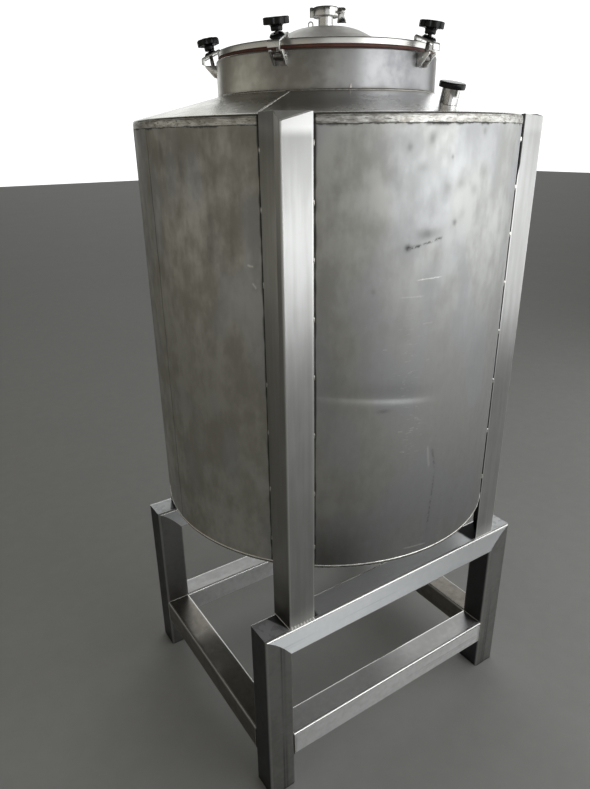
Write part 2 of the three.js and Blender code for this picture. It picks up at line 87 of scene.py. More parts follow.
# %% A socket that can be used in sums
class Mark:
    """A value in a shader. Sums and products of marks add Math nodes to the same graph."""

    def __init__(self, graph, socket):
        self.graph = graph
        self.socket = socket

    def math(self, operation, *others):
        inputs = dict(enumerate((self, *others)))
        return self.graph.node("ShaderNodeMath", {"operation": operation}, inputs)

    def __add__(self, other):
        return self.math("ADD", other)

    def __sub__(self, other):
        return self.math("SUBTRACT", other)

    def __rsub__(self, other):
        return self.graph.node("ShaderNodeMath", {"operation": "SUBTRACT"}, {0: other, 1: self})

    def __mul__(self, other):
        return self.math("MULTIPLY", other)

    def __truediv__(self, other):
        return self.math("DIVIDE", other)

    def __neg__(self):
        return self.math("MULTIPLY", -1.0)

    __radd__ = __add__
    __rmul__ = __mul__

    def least(self, other):
        return self.math("MINIMUM", other)

    def most(self, other):
        return self.math("MAXIMUM", other)

    def size(self):
        return self.math("ABSOLUTE")

    def bell(self):
        """exp(-x squared): 1 in the middle and soft on both sides"""
        return (-(self * self)).math("EXPONENT")

    def step(self, start, end):
        """0 at start, 1 at end, smooth between"""
        if start > end:
            return 1 - self.step(end, start)
        settings = {"interpolation_type": "SMOOTHSTEP", "clamp": True}
        inputs = {"Value": self, "From Min": start, "From Max": end}
        return self.graph.node("ShaderNodeMapRange", settings, inputs)

    def part(self, name):
        """One coordinate of a vector: X, Y or Z"""
        return self.graph.node("ShaderNodeSeparateXYZ", {}, {0: self}, name)


class Graph:
    """A node tree and the ways to add to it"""

    def __init__(self, tree, place):
        self.tree = tree
        self.place = self.node("ShaderNodeTexCoord", {}, {}, place)

    def node(self, kind, settings, inputs, output=0):
        """Adds a node: its settings come first, then a value or a link for each socket"""
        made = self.tree.nodes.new(kind)
        for key, value in settings.items():
            setattr(made, key, value)
        for key, value in inputs.items():
            self.feed(made.inputs[key], value)
        return Mark(self, made.outputs[output])

    def feed(self, socket, value):
        if isinstance(value, Mark):
            self.tree.links.new(value.socket, socket)
        else:
            socket.default_value = value

    def blend(self, share, first, second):
        """A colour between two colours: the first where the share is 0"""
        inputs = {"Factor": share, "A": first, "B": second}
        made = self.tree.nodes.new("ShaderNodeMix")
        made.data_type = "RGBA"
        colour = {s.name: s for s in made.inputs if s.enabled}
        for key, value in inputs.items():
            self.feed(colour[key], value)
        return Mark(self, next(s for s in made.outputs if s.enabled))


HAIR = 0.0012
GRAIN_UP = (1, 1, 0.03)


class Finish(Graph):
    """The node graph of one material, with its output shader ready"""

    def __init__(self, name):
        self.name = name
        self.material = bpy.data.materials.new(name)
        self.material.use_nodes = True
        self.material.node_tree.nodes.clear()
        super().__init__(self.material.node_tree, "Object")
        self.shader = self.tree.nodes.new("ShaderNodeBsdfPrincipled")
        output = self.tree.nodes.new("ShaderNodeOutputMaterial")
        self.tree.links.new(self.shader.outputs[0], output.inputs[0])

    def set(self, **values):
        """Sets sockets of the shader, such as Base_Color or Roughness"""
        for key, value in values.items():
            self.feed(self.shader.inputs[key.replace("_", " ")], value)

    def clouds(self, size, stretch=(1, 1, 1), detail=3.0, rough=0.55):
        """Cloudy noise from 0 to 1 whose blotches are about as wide as the size in metres"""
        scale = tuple(s / size for s in stretch)
        place = self.node("ShaderNodeMapping", {}, {"Vector": self.place, "Scale": scale})
        inputs = {"Vector": place, "Scale": 1.0, "Detail": detail, "Roughness": rough}
        return self.node("ShaderNodeTexNoise", {}, inputs)

    def mottle(self, wide, narrow, share, stretch=(1, 1, 1)):
        """Wide clouds and narrow ones in one sum, where the share is that of the wide ones"""
        return self.clouds(wide, stretch) * share + self.clouds(narrow) * (1 - share)

    def hair(self, stretch=(1, 1, 1), size=HAIR):
        """Grain as fine as hair, drawn out along the axis with the small stretch"""
        return self.clouds(size, stretch, detail=2.0)

    def axes(self):
        """The three coordinates of a point"""
        return [self.place.part(axis) for axis in "XYZ"]

    def unroll(self, radius):
        """Keeps the way round from the front, in metres along a cylinder of this radius, the height and the
        distance from the axis. The way round jumps at the back, so slow tones use x."""
        self.radius = radius
        self.x, y, self.height = self.axes()
        self.across = self.x.math("ARCTAN2", -y) * radius
        self.reach = (self.x * self.x + y * y).math("SQRT")
        return self

    def spot(self, degrees, height, wide, tall):
        """A soft spot: a bell of the distance from its middle, with its own width and height"""
        u = (self.across - math.radians(degrees) * self.radius) / wide
        v = (self.height - height) / tall
        return (-(u * u + v * v)).math("EXPONENT")

    def stroke(self, start, end, width):
        """A scratch from start to end: a narrow bell across its line, and a smooth window along it"""
        a = np.array([math.radians(start[0]) * self.radius, start[1]])
        b = np.array([math.radians(end[0]) * self.radius, end[1]])
        middle, half = (a + b) / 2, np.linalg.norm(b - a) / 2
        way = (b - a) / (2 * half)
        u = self.across - float(middle[0])
        v = self.height - float(middle[1])
        along = (u * float(way[0]) + v * float(way[1])) / float(half)
        beside = (v * float(way[0]) - u * float(way[1])) / width
        return beside.bell() * (1 - along.size().step(0.6, 1.05))

    def surface(self, colour, rough, relief, depth=0.00004, metallic=1.0):
        """Sets the colour, the roughness, the share of metal, and a relief this many metres deep"""
        inputs = {"Height": relief, "Distance": depth}
        normal = self.node("ShaderNodeBump", {}, inputs, "Normal")
        self.set(Metallic=metallic, Base_Color=colour, Roughness=rough, Normal=normal)


print("shader helpers ready")

# %% [markdown]
# ## Light
# Steel shows what stands round it, so its light is planned as a map of directions. Two soft panels stand on
# the right like a row of windows, a dimmer one in front and a warm one on the left. Blender asks for watts,
# while the eye sees radiance, which is watts over four times the area. The world adds a dim warm room and a
# pale back wall.

# %% Light panels
WATTS_PER_RADIANCE = 4.0


def light_panel(name, place, aim, width, height, radiance, tint):
    """A soft rectangular light at a place, turned to face a point; watts = 4 x area x radiance"""
    data = bpy.data.lights.new(name, "AREA")
    data.shape = "RECTANGLE"
    data.size = width
    data.size_y = height
    data.energy = WATTS_PER_RADIANCE * width * height * radiance
    data.color = tint
    panel = bpy.data.objects.new(name, data)
    bpy.context.scene.collection.objects.link(panel)
    facing = Vector(aim) - Vector(place)
    panel.matrix_world = Matrix.Translation(place) @ facing.to_track_quat("-Z", "Y").to_matrix().to_4x4()
    panel.visible_camera = False


DAYLIGHT = (0.985, 1.0, 0.995)
WARM_SHADE = (1.0, 0.965, 0.86)
light_panel("near_window", (1.12, -3.73, 2.2), (-0.98, -1.85, 2.2), 3.2, 2.4, 1.52, DAYLIGHT)
light_panel("far_window", (3.4, -1.16, 1.9), (1.1, 0.89, 1.9), 3.6, 2.5, 1.0, DAYLIGHT)
light_panel("front_fill", (-0.9, -3.5, 2.0), (-0.1, -0.45, 2.0), 3.4, 1.7, 0.5, DAYLIGHT)
light_panel("left_wall", (-3.2, 1.0, 1.75), (0, 1.0, 1.75), 8.6, 1.9, 0.25, WARM_SHADE)

# %% The room round the panels
world = bpy.data.worlds.new("studio")
world.use_nodes = True
bpy.context.scene.world = world
room = Graph(world.node_tree, "Generated")
way_round = (room.place.part("Y")).math("ARCTAN2", room.place.part("X")) * (180 / math.pi)
rise = room.place.part("Z").math("ARCSINE") * (180 / math.pi)

ROOM_GLOW = 0.05
CEILING_GLOW = 0.06
BACK_GLOW = 1.25
WALL_START = (12, 36)
WALL_END = (96, 82)
WALL_TOP = (55, 35)
CEILING_START = (30, 60)
back_wall = way_round.step(*WALL_START) * way_round.step(*WALL_END) * rise.step(*WALL_TOP)
dim = ROOM_GLOW + (CEILING_GLOW - ROOM_GLOW) * rise.step(*CEILING_START)
background = world.node_tree.nodes["Background"]
room.feed(background.inputs["Color"], room.blend(back_wall, (*WARM_SHADE, 1), (*DAYLIGHT, 1)))
room.feed(background.inputs["Strength"], dim + back_wall * (BACK_GLOW - ROOM_GLOW))
bpy.context.scene.view_settings.view_transform = "Standard"
print("room glow:", ROOM_GLOW, "back wall:", BACK_GLOW)

# %% [markdown]
# ## Shapes as grids of points
# Most parts of a tank are one of three shapes: a profile turned round an axis, a section carried along a
# line, and a flat plate with soft edges. Each is a table of points with two directions, and every quad joins
# four neighbours. Numpy works out a whole table at once, which is fast and keeps the formula in sight.

# %% Forms
MM = 0.001
WELD_POINTS = 1e-7
CREASE_ANGLE = 30
GRAIN_FAR = 1000


class Form:
    """Points in millimetres, the quads between them, and any wider faces"""

    def __init__(self, points, quads, caps=()):
        self.points = np.asarray(points, float).reshape(-1, 3)
        self.quads = np.asarray(quads, int).reshape(-1, 4)
        self.caps = [list(cap) for cap in caps]

    def turned(self, axis, degrees):
        """Every point turned about an axis through the origin"""
        turn = np.array(Matrix.Rotation(math.radians(degrees), 3, axis))
        return Form(self.points @ turn.T, self.quads, self.caps)

    def moved(self, x, y, z):
        return Form(self.points + [x, y, z], self.quads, self.caps)


def together(forms):
    """Several forms as one: each keeps its faces, counted on from the points before it"""
    starts = np.cumsum([0] + [len(f.points) for f in forms[:-1]])
    points = np.concatenate([f.points for f in forms])
    quads = np.concatenate([f.quads + start for f, start in zip(forms, starts)])
    caps = [[i + int(start) for i in cap] for f, start in zip(forms, starts) for cap in f.caps]
    return Form(points, quads, caps)


def grid(points, wrap_rows=False, wrap_columns=False):
    """A form from a table of points. Quad (i, j) joins rows i and i + 1 and columns j and j + 1."""
    rows, columns = points.shape[:2]
    i, j = np.meshgrid(
        np.arange(rows if wrap_rows else rows - 1),
        np.arange(columns if wrap_columns else columns - 1),
        indexing="ij",
    )
    next_i = (i + 1) % rows
    next_j = (j + 1) % columns
    corners = [i * columns + j, next_i * columns + j, next_i * columns + next_j, i * columns + next_j]
    return Form(points, np.stack(corners, axis=-1))


def run_grain(mesh, direction):
    """Brushed reflections follow circles round the middle of a mesh's texture space. A middle far to one
    side makes the circles straight lines, along X or along Y."""
    mesh.use_auto_texspace = False
    mesh.texspace_location = {"X": (0, -GRAIN_FAR, 0), "Y": (-GRAIN_FAR, 0, 0)}[direction]
    mesh.texspace_size = (1, 1, 1)


def put(name, form, finish, node=None, slot=None, body="tank", grain=None):
    """Makes the mesh of a form, merges its seams and poles, turns its faces outwards and hands it to its
    body. It stands for the node. The slot is not used."""
    mesh = bpy.data.meshes.new(name)
    mesh.from_pydata((form.points * MM).tolist(), [], form.quads.tolist() + form.caps)
    work = bmesh.new()
    work.from_mesh(mesh)
    bmesh.ops.remove_doubles(work, verts=work.verts, dist=WELD_POINTS)
    bmesh.ops.dissolve_degenerate(work, edges=work.edges, dist=WELD_POINTS)
    bmesh.ops.recalc_face_normals(work, faces=work.faces)
    work.to_mesh(mesh)
    work.free()
    mesh.polygons.foreach_set("use_smooth", [True] * len(mesh.polygons))
    mesh.set_sharp_from_angle(angle=math.radians(CREASE_ANGLE))
    mesh.materials.append(finish.material)
    if grain:
        run_grain(mesh, grain)
    piece = bpy.data.objects.new(name, mesh)
    bpy.context.scene.collection.objects.link(piece)
    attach(piece, body)
    if node:
        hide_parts(node)


print("form helpers ready")

# %% Profiles, bars and plates
TAU = 2 * math.pi


def softened(profile, radius, steps=3, closed=True):
    """Rounds each corner of a profile: a short curve that leaves one side and joins the next.
    The curve is (1 - t)^2 a + 2 t (1 - t) corner + t^2 b, with a and b on the two sides."""
    corner = np.asarray(profile, float)
    radius = np.broadcast_to(np.asarray(radius, float), len(corner))
    back = np.roll(corner, 1, axis=0) - corner
    forth = np.roll(corner, -1, axis=0) - corner
    back_long = np.linalg.norm(back, axis=1)
    forth_long = np.linalg.norm(forth, axis=1)
    cut = np.minimum(radius, np.minimum(back_long, forth_long) * 0.49)
    if not closed:
        cut[[0, -1]] = 0
    a = corner + back * (cut / back_long)[:, None]
    b = corner + forth * (cut / forth_long)[:, None]
    t = np.linspace(0, 1, steps + 1)[None, :, None]
    curve = (1 - t) ** 2 * a[:, None] + 2 * t * (1 - t) * corner[:, None] + t ** 2 * b[:, None]
    if closed:
        return curve.reshape(-1, 2)
    inside = curve[1:-1].reshape(-1, 2)
    return np.concatenate([corner[:1], inside, corner[-1:]])


def lathe(profile, steps, closed=True):
    """A turned form: profile point j at angle a stands at (r_j cos a, r_j sin a, z_j)"""
    angle = np.linspace(0, TAU, steps, endpoint=False)[:, None]
    r, z = np.asarray(profile, float).T
    points = np.stack([r * np.cos(angle), r * np.sin(angle), z + 0 * angle], axis=-1)
    return grid(points, wrap_rows=True, wrap_columns=closed)


def inset(outline, distance):
    """An outline moved inwards: each corner goes along the sum of its two inward normals, divided by
    1 + their product, which keeps both sides at the same distance"""
    side = np.roll(outline, -1, axis=0) - outline
    side = side / np.linalg.norm(side, axis=1, keepdims=True)
    after = np.stack([-side[:, 1], side[:, 0]], axis=1)
    before = np.roll(after, 1, axis=0)
    share = 1 + (after * before).sum(axis=1, keepdims=True)
    return outline + distance * (after + before) / share


def prism(outline, low, high, edge):
    """A bar with an anticlockwise outline and soft ends. Ring k is the outline moved in by its inset, at the
    height of its end plus its rise, where low and high may be functions of the point's place."""
    outline = np.asarray(outline, float)
    rings = []
    for end, inward, rise in ((low, edge, 0), (low, edge / 3, edge / 3), (low, 0, edge),
                              (high, 0, -edge), (high, edge / 3, -edge / 3), (high, edge, 0)):
        ring = inset(outline, inward)
        height = end(ring[:, 0], ring[:, 1]) if callable(end) else np.full(len(ring), float(end))
        rings.append(np.column_stack([ring, height + rise]))
    form = grid(np.stack(rings, axis=1), wrap_rows=True)
    count = len(rings)
    first = [i * count for i in range(len(outline))]
    last = [i * count + count - 1 for i in range(len(outline))]
    form.caps = [first[::-1], last]
    return form


def oblong(left, right, low, high):
    """The four corners of an upright rectangle, anticlockwise from the lower left"""
    return [(left, low), (right, low), (right, high), (left, high)]


def bar(radius, start, end, edge=0.5, steps=24, top=None):
    """A round bar along Z with soft ends, which may narrow towards its top"""
    profile = softened([(0, start), (radius, start), (top or radius, end), (0, end)], edge, closed=False)
    return lathe(profile, steps, closed=False)


def standing(form):
    """A prism made flat, stood up: its Y becomes Z and its height runs along Y, centred where it was"""
    return form.turned("X", 90)


def two_plates(outline, middle, thick, edge):
    """Two upright plates, one on each side of the middle plane"""
    spans = [(side * middle - thick / 2, side * middle + thick / 2) for side in (-1, 1)]
    return [standing(prism(outline, low, high, edge)) for low, high in spans]


def rounded_square(side, radius, steps=6, flats=1):
    """Section of a square tube: quarter circles at the corners, anticlockwise, with points on the flats"""
    centres = np.array([(1, 1), (-1, 1), (-1, -1), (1, -1)]) * (side / 2 - radius)
    turn = np.linspace(0, TAU / 4, steps + 1)
    share = np.linspace(0, 1, flats + 1)[1:-1, None]
    rows = []
    for quarter, (centre, after) in enumerate(zip(centres, np.roll(centres, -1, axis=0))):
        angle = turn + quarter * TAU / 4
        arc = centre + radius * np.column_stack([np.cos(angle), np.sin(angle)])
        rows += [arc, arc[-1] + (after - centre) * share]
    return np.concatenate(rows)


# %% [markdown]
# ## Weld beads
# A weld is a low ridge of frozen metal with a ripple for every dip of the wire. Here it is a small ellipse
# carried along a path. Its size swells and shrinks with the ripple and with a slow random wander, and closes
# at both ends. A tack is one short drop of the same kind.

# %% Beads and tacks
BEAD_SIDES = 10


def wander(places, wave, seed):
    """Slow random change between about -1 and 1: a sum of sines of falling length with random starts"""
    dice = np.random.default_rng(seed)
    total = np.zeros_like(places)
    for octave in (1, 2, 4):
        total += np.sin(places * TAU * octave / wave + dice.uniform(0, TAU)) / octave
    return total / 1.75


def bead(path, outward, wide, high, pitch, closed=False, seed=1, ripple=0.18):
    """Point (s, a) stands at path(s) + size(s) (wide cos a side + high sin a outward), where side is the
    tangent crossed with outward, and size ripples once for each pitch"""
    path = np.asarray(path, float)
    outward = np.broadcast_to(np.asarray(outward, float), path.shape)
    if closed:
        tangent = np.roll(path, -1, axis=0) - np.roll(path, 1, axis=0)
    else:
        tangent = np.gradient(path, axis=0)
    tangent = tangent / np.linalg.norm(tangent, axis=1, keepdims=True)
    side = np.cross(tangent, outward)
    side = side / np.linalg.norm(side, axis=1, keepdims=True)
    gaps = np.linalg.norm(np.diff(path, axis=0), axis=1)
    along = np.concatenate([[0], np.cumsum(gaps)])
    size = 1 - ripple + ripple * np.abs(np.sin(along * math.pi / pitch)) * 2
    size = size * (1 + 0.16 * wander(along, pitch * 9, seed))
    if not closed:
        share = along / along[-1]
        size = size * np.sqrt(np.clip(1 - np.abs(2 * share - 1) ** 8, 0, 1))
    angle = np.linspace(0, TAU, BEAD_SIDES, endpoint=False)[None, :, None]
    size = size[:, None, None]
    shape = wide * np.cos(angle) * side[:, None] + high * np.sin(angle) * outward[:, None]
    return grid(path[:, None] + size * shape, wrap_rows=closed, wrap_columns=True)


def tack(centre, along, outward, length, wide, high, steps=8):
    """A short drop of weld: an ellipsoid, which is a bead whose size is a half circle"""
    along = np.asarray(along, float)
    t = np.linspace(-1, 1, steps)[:, None]
    path = np.asarray(centre, float) + along * t * length / 2
    side = np.cross(along, outward)
    angle = np.linspace(0, TAU, steps, endpoint=False)[None, :, None]
    size = np.sqrt(1 - t ** 2)[:, :, None]
    shape = wide * np.cos(angle) * side + high * np.sin(angle) * np.asarray(outward, float)
    return grid(path[:, None] + size * shape, wrap_columns=True)


def circle(radius, height, steps, start=0.0, end=360.0):
    """Points round the Z axis, and the outward direction at each"""
    full = end - start >= 360
    angle = np.radians(np.linspace(start, end, steps, endpoint=not full))
    outward = np.column_stack([np.cos(angle), np.sin(angle), 0 * angle])
    return outward * [radius, radius, 0] + [0, 0, height], outward


def lifted(outward, degrees):
    """An outward direction raised above the horizon"""
    rise = math.radians(degrees)
    return outward * math.cos(rise) + np.array([0, 0, math.sin(rise)])


def line(start, end, step=1.2):
    """Evenly spaced points from start to end"""
    start, end = np.asarray(start, float), np.asarray(end, float)
    count = max(4, int(np.linalg.norm(end - start) / step))
    return start + (end - start) * np.linspace(0, 1, count)[:, None]


print("weld helpers ready")

# %% [markdown]
# ## Steel
# Mill-finish stainless is grey with soft clouds in it: the acid bath leaves patches that are a little rougher
# or darker. Its grain runs one way, so reflections are drawn out across it. The base colour, the roughness
# and a very small bump share the same clouds, which ties them together as on real sheet.

# %% Steel finishes
def steel(name, pale, dark, rough, cloud, uneven=0.12):
    """Steel whose colour goes from dark to pale with the clouds, and whose roughness rises as it darkens"""
    finish = Finish(name)
    small = finish.clouds(cloud / 6, detail=4.0, rough=0.65)
    fine = finish.hair()
    mix = (finish.clouds(cloud) * 0.55 + small * 0.45).step(0.36, 0.62)
    roughness = rough + (1 - mix) * uneven + (fine - 0.5) * 0.06
    finish.surface(finish.blend(mix, dark, pale), roughness, fine * 0.6 + small * 0.4)
    return finish


fitting_steel = steel("fitting_steel", (0.8, 0.79, 0.78, 1), (0.7, 0.69, 0.67, 1), 0.12, 0.03, 0.06)
# Painted reflection: the clamp steel is near white so that the arms look lit
clamp_steel = steel("clamp_steel", (0.96, 0.96, 0.95, 1), (0.86, 0.86, 0.85, 1), 0.26, 0.03, 0.08)
# Painted shade: the bolt steel is dark, and darkens the bolt and the plate between the bracket ears
shaded_bolt_steel = steel("shaded_bolt_steel", (0.3, 0.29, 0.28, 1), (0.16, 0.15, 0.145, 1), 0.3, 0.02, 0.1)
weld_steel = steel("weld_steel", (0.74, 0.73, 0.7, 1), (0.5, 0.47, 0.42, 1), 0.34, 0.012)
bright_weld = steel("bright_weld", (0.92, 0.91, 0.88, 1), (0.72, 0.69, 0.63, 1), 0.24, 0.008)
# Painted highlight: the foot drops are nearly white and barely metal, so they show white as if catching the
# light
drop_weld = steel("drop_weld", (0.98, 0.97, 0.95, 1), (0.88, 0.86, 0.82, 1), 0.3, 0.008)
drop_weld.set(Metallic=0.1)
print("steel finishes ready")

# %% [markdown]
# ## The marks of the shell
# A tank that has been handled carries its own map: soft dark spots where it was lifted, a scuff and a few
# bright scratches. Painted shade darkens the narrow gaps beside the posts, the foot of the shell and the top
# of its left side. Each mark is placed by two numbers, its angle from the front and its height, because the
# cylinder unrolls into a flat sheet. Sums of soft spots keep it light.

# %% Shell finish
SHELL_METRES = 0.5
NECK_METRES = 0.281
DARK_SPOTS = (
    (-32.6, 1.758, 0.012, 0.018, 0.3), (-16.3, 1.744, 0.007, 0.009, 0.4), (-10.4, 1.761, 0.009, 0.012, 0.5),
    (6.5, 1.772, 0.006, 0.007, 0.35), (-4.1, 1.723, 0.003, 0.004, 0.5), (-12.6, 1.705, 0.012, 0.009, 0.18),
    (-5.0, 1.665, 0.012, 0.014, 0.28), (-1.0, 1.668, 0.012, 0.012, 0.28), (4.5, 1.655, 0.01, 0.012, 0.24),
    (-1.8, 1.59, 0.006, 0.006, 0.6), (-15.5, 1.544, 0.007, 0.007, 0.95), (-10.0, 1.57, 0.026, 0.011, 0.5),
    (-75.0, 1.723, 0.012, 0.03, 0.3), (-66.0, 1.6, 0.01, 0.03, 0.35), (-66.6, 1.537, 0.013, 0.034, 0.4),
    (-59.8, 1.541, 0.009, 0.045, 0.3), (-83.6, 1.743, 0.01, 0.04, 0.25), (-20.0, 1.17, 0.016, 0.005, 0.55),
    (-33.0, 0.8, 0.07, 0.08, 0.14), (-24.0, 1.455, 0.005, 0.006, 0.35), (-34.0, 1.25, 0.03, 0.12, 0.2),
)
PALE_SPOTS = (
    (-76.0, 1.044, 0.03, 0.045, 0.3), (-74.7, 0.96, 0.035, 0.03, 0.25), (-68.0, 0.84, 0.028, 0.03, 0.3),
    (-57.0, 1.4, 0.03, 0.05, 0.2), (-9.0, 1.71, 0.075, 0.08, 0.85), (-5.0, 1.625, 0.012, 0.01, 0.4),
)
SCUFFS = (((-15.8, 1.543), (-11.5, 1.548), 0.0028, 0.7), ((-11.8, 1.548), (-5.2, 1.562), 0.0024, 0.6),
          ((-3.6, 1.05), (-1.8, 0.98), 0.004, 0.35), ((-1.8, 0.985), (-3.2, 0.8), 0.003, 0.3))
SCRATCHES = (
    ((-12.6, 1.473), (-4.5, 1.475), 0.0011, 0.9), ((-17.2, 1.438), (-9.7, 1.436), 0.0012, 0.35),
    ((-10.0, 1.372), (-6.5, 1.373), 0.0012, 0.35), ((-55.8, 1.511), (-53.9, 1.506), 0.0022, 0.8),
    ((-54.5, 1.473), (-53.4, 1.459), 0.0022, 0.8), ((-20.9, 1.322), (-19.6, 1.32), 0.0012, 0.5),
    ((-8.0, 1.283), (-6.7, 1.284), 0.0012, 0.4), ((-15.6, 1.112), (-13.9, 1.11), 0.0012, 0.6),
    ((-11.9, 1.114), (-10.3, 1.116), 0.0012, 0.6), ((-14.6, 1.056), (-13.0, 1.054), 0.0012, 0.5),
    ((-5.3, 1.06), (-4.2, 0.99), 0.003, 0.35), ((-12.0, 0.768), (-3.0, 0.762), 0.0016, 0.35),
)
POST_TURN = 45.0
EDGE_TURN = 6.6
GAP_HALF = 0.0024
GAP_OPEN = (1.66, 1.7)
SEAM_ACROSS = 0.797
LIP_LINE = 1.7885
FOOT_TOP = 1.2
SHELL_FOOT = 0.74
SHADE_TOP = 0.92
RIM_SHADE = (0.743, 0.74)
LIP_HIGHLIGHT = (0.7385, 0.7365)
RIGHT_LOWER_SHADE = (1.65, 1.25)
LEFT_UPPER_SHADE = (1.45, 1.75)
SHADED_X = (-0.14, -0.28)
LEFT_X = (-0.42, -0.33)
SHADE_AND_DIRT = (0.04, 0.038, 0.035, 1)
BLACK_SHADE = (0.012, 0.011, 0.01, 1)


def summed(shape, marks):
    """Adds up marks of one shape. The last number of each mark is its strength."""
    total = 0
    for *place, strength in marks:
        total = shape(*place) * strength + total
    return total


def sheet_colour(finish, mottle):
    """Steel that is olive and darker on the left, as painted shade and a painted olive reflection, and
    neutral on the right, paler where the mottle is high
    """
    side = (finish.x + (finish.clouds(0.35, detail=1.0) - 0.5) * 0.25).step(-0.46, -0.1)
    cool = finish.clouds(0.13, (1, 1, 0.5), detail=1.0).step(0.48, 0.62)
    dark = finish.blend(side, (0.445, 0.43, 0.378, 1), (0.53, 0.53, 0.515, 1))
    pale = finish.blend(side, (0.645, 0.635, 0.58, 1), (0.62, 0.625, 0.615, 1))
    colour = finish.blend(mottle, dark, pale)
    return finish.blend(cool * 0.4, colour, (0.55, 0.56, 0.61, 1))


def post_gap(finish, slow):
    """Dark lines of painted shade where the free edges of the posts meet the shell, wider near the top on the
    right
    """
    fold = ((finish.across * (180 / math.pi / SHELL_METRES)).size() - 90).size()
    open_top = finish.height.step(*GAP_OPEN) * finish.x.step(0.0, 0.1)
    thick = GAP_HALF * (0.55 + 0.9 * slow.step(0.35, 0.65)) * (1 + open_top * 1.3)
    return ((((fold - POST_TURN).size() - EDGE_TURN) * (math.pi / 180 * SHELL_METRES)) / thick).bell()


def shell_finish():
    """Mottled sheet with every mark in the lists, painted shade at its foot, high on its left, below its rim
    and in the gaps beside the posts, and a painted highlight along the lowest edge
    """
    finish = Finish("shell_steel").unroll(SHELL_METRES)
    ragged = finish.clouds(0.006)
    slow = finish.clouds(0.05, detail=1.0)
    finish.height = finish.height + (ragged - 0.5) * 0.006
    broad = finish.clouds(0.15, (1, 1, 0.8), detail=2.0)
    blotch = finish.clouds(0.045, (1, 1, 0.75))
    grain = finish.clouds(0.012, (1, 1, 0.35))
    streaks = finish.clouds(0.03, (1, 1, 0.12), detail=2.0)
    fine = finish.hair(GRAIN_UP)
    mottle = (broad * 0.38 + blotch * 0.38 + grain * 0.12 + streaks * 0.12).step(0.4, 0.61)
    seam = ((finish.across + SEAM_ACROSS + (slow - 0.5) * 0.01) / 0.003).bell()
    lip = ((finish.height - LIP_LINE) / (0.0008 + 0.003 * slow.step(0.42, 0.66))).bell()
    scuffs = summed(finish.stroke, SCUFFS) * ragged.step(0.35, 0.6)
    pale = (summed(finish.spot, PALE_SPOTS) * 0.6).least(1.0)
    dashes = finish.clouds(0.005, (0.3, 0.3, 1), detail=2.0).step(0.6, 0.68)
    field = finish.spot(-14.0, 1.27, 0.032, 0.09) + finish.spot(-11.0, 1.11, 0.025, 0.08)
    scratches = summed(finish.stroke, SCRATCHES) + dashes * field * 0.45
    # Painted shade: the shell darkens towards its foot, most on the right and beside the front left post,
    # over the lower right and the upper left, and below the rim
    shaded = finish.x.step(*SHADED_X)
    righter = finish.x.step(*LEFT_X)
    foot = finish.height.step(FOOT_TOP, SHELL_FOOT) * (0.02 + 0.4 * righter)
    foot = foot + shaded * finish.height.step(SHADE_TOP, SHELL_FOOT) * righter * 0.25
    foot = foot + righter * finish.height.step(*RIGHT_LOWER_SHADE) * 0.1
    foot = foot + (1 - righter) * finish.height.step(*LEFT_UPPER_SHADE) * 0.12
    below = finish.height.step(*RIM_SHADE) * (0.15 + shaded * 0.5)
    # One sum of the dirt spots, the scuffs and the painted shade above; it also makes the sheet rougher and
    # less metal
    darkening = (summed(finish.spot, DARK_SPOTS) * 0.62 + scuffs + foot + below).least(0.92)
    # Painted shade: black lines in the gaps beside the posts, joined by the dark seam and lip lines
    darkening = darkening.most(post_gap(finish, slow) * 0.98).most(seam * 0.55).most(lip * 0.9)
    colour = finish.blend(pale, sheet_colour(finish, mottle), (0.8, 0.815, 0.815, 1))
    colour = finish.blend(darkening, colour, SHADE_AND_DIRT)
    colour = finish.blend(scratches.least(1.0), colour, (0.95, 0.94, 0.92, 1))
    # Painted highlight: a pale line along the lowest edge of the bottom head's lip
    colour = finish.blend(finish.height.step(*LIP_HIGHLIGHT) * 0.7, colour, (0.9, 0.89, 0.86, 1))
    rough = 0.43 + (1 - mottle) * 0.12 - scratches * 0.08 + (fine - 0.5) * 0.05 + darkening * 0.15
    finish.surface(colour, rough, fine * 0.5 + ragged * 0.3 - scratches * 0.4, metallic=1 - darkening * 0.5)
    return finish


BAND_TOP = (1.8075, 1.805)
TINT_WIDTH = (0.04, 0.004)
ROOF_SIDE = (-0.36, -0.1)
LID_FOLD = 0.2
LID_RIM_START = (0.262, 0.268)
NECK_LEFT = (-0.245, -0.281)
NECK_RIGHT = (-0.185, -0.075)
NECK_FOOT_DARK = (1.872, 1.862)


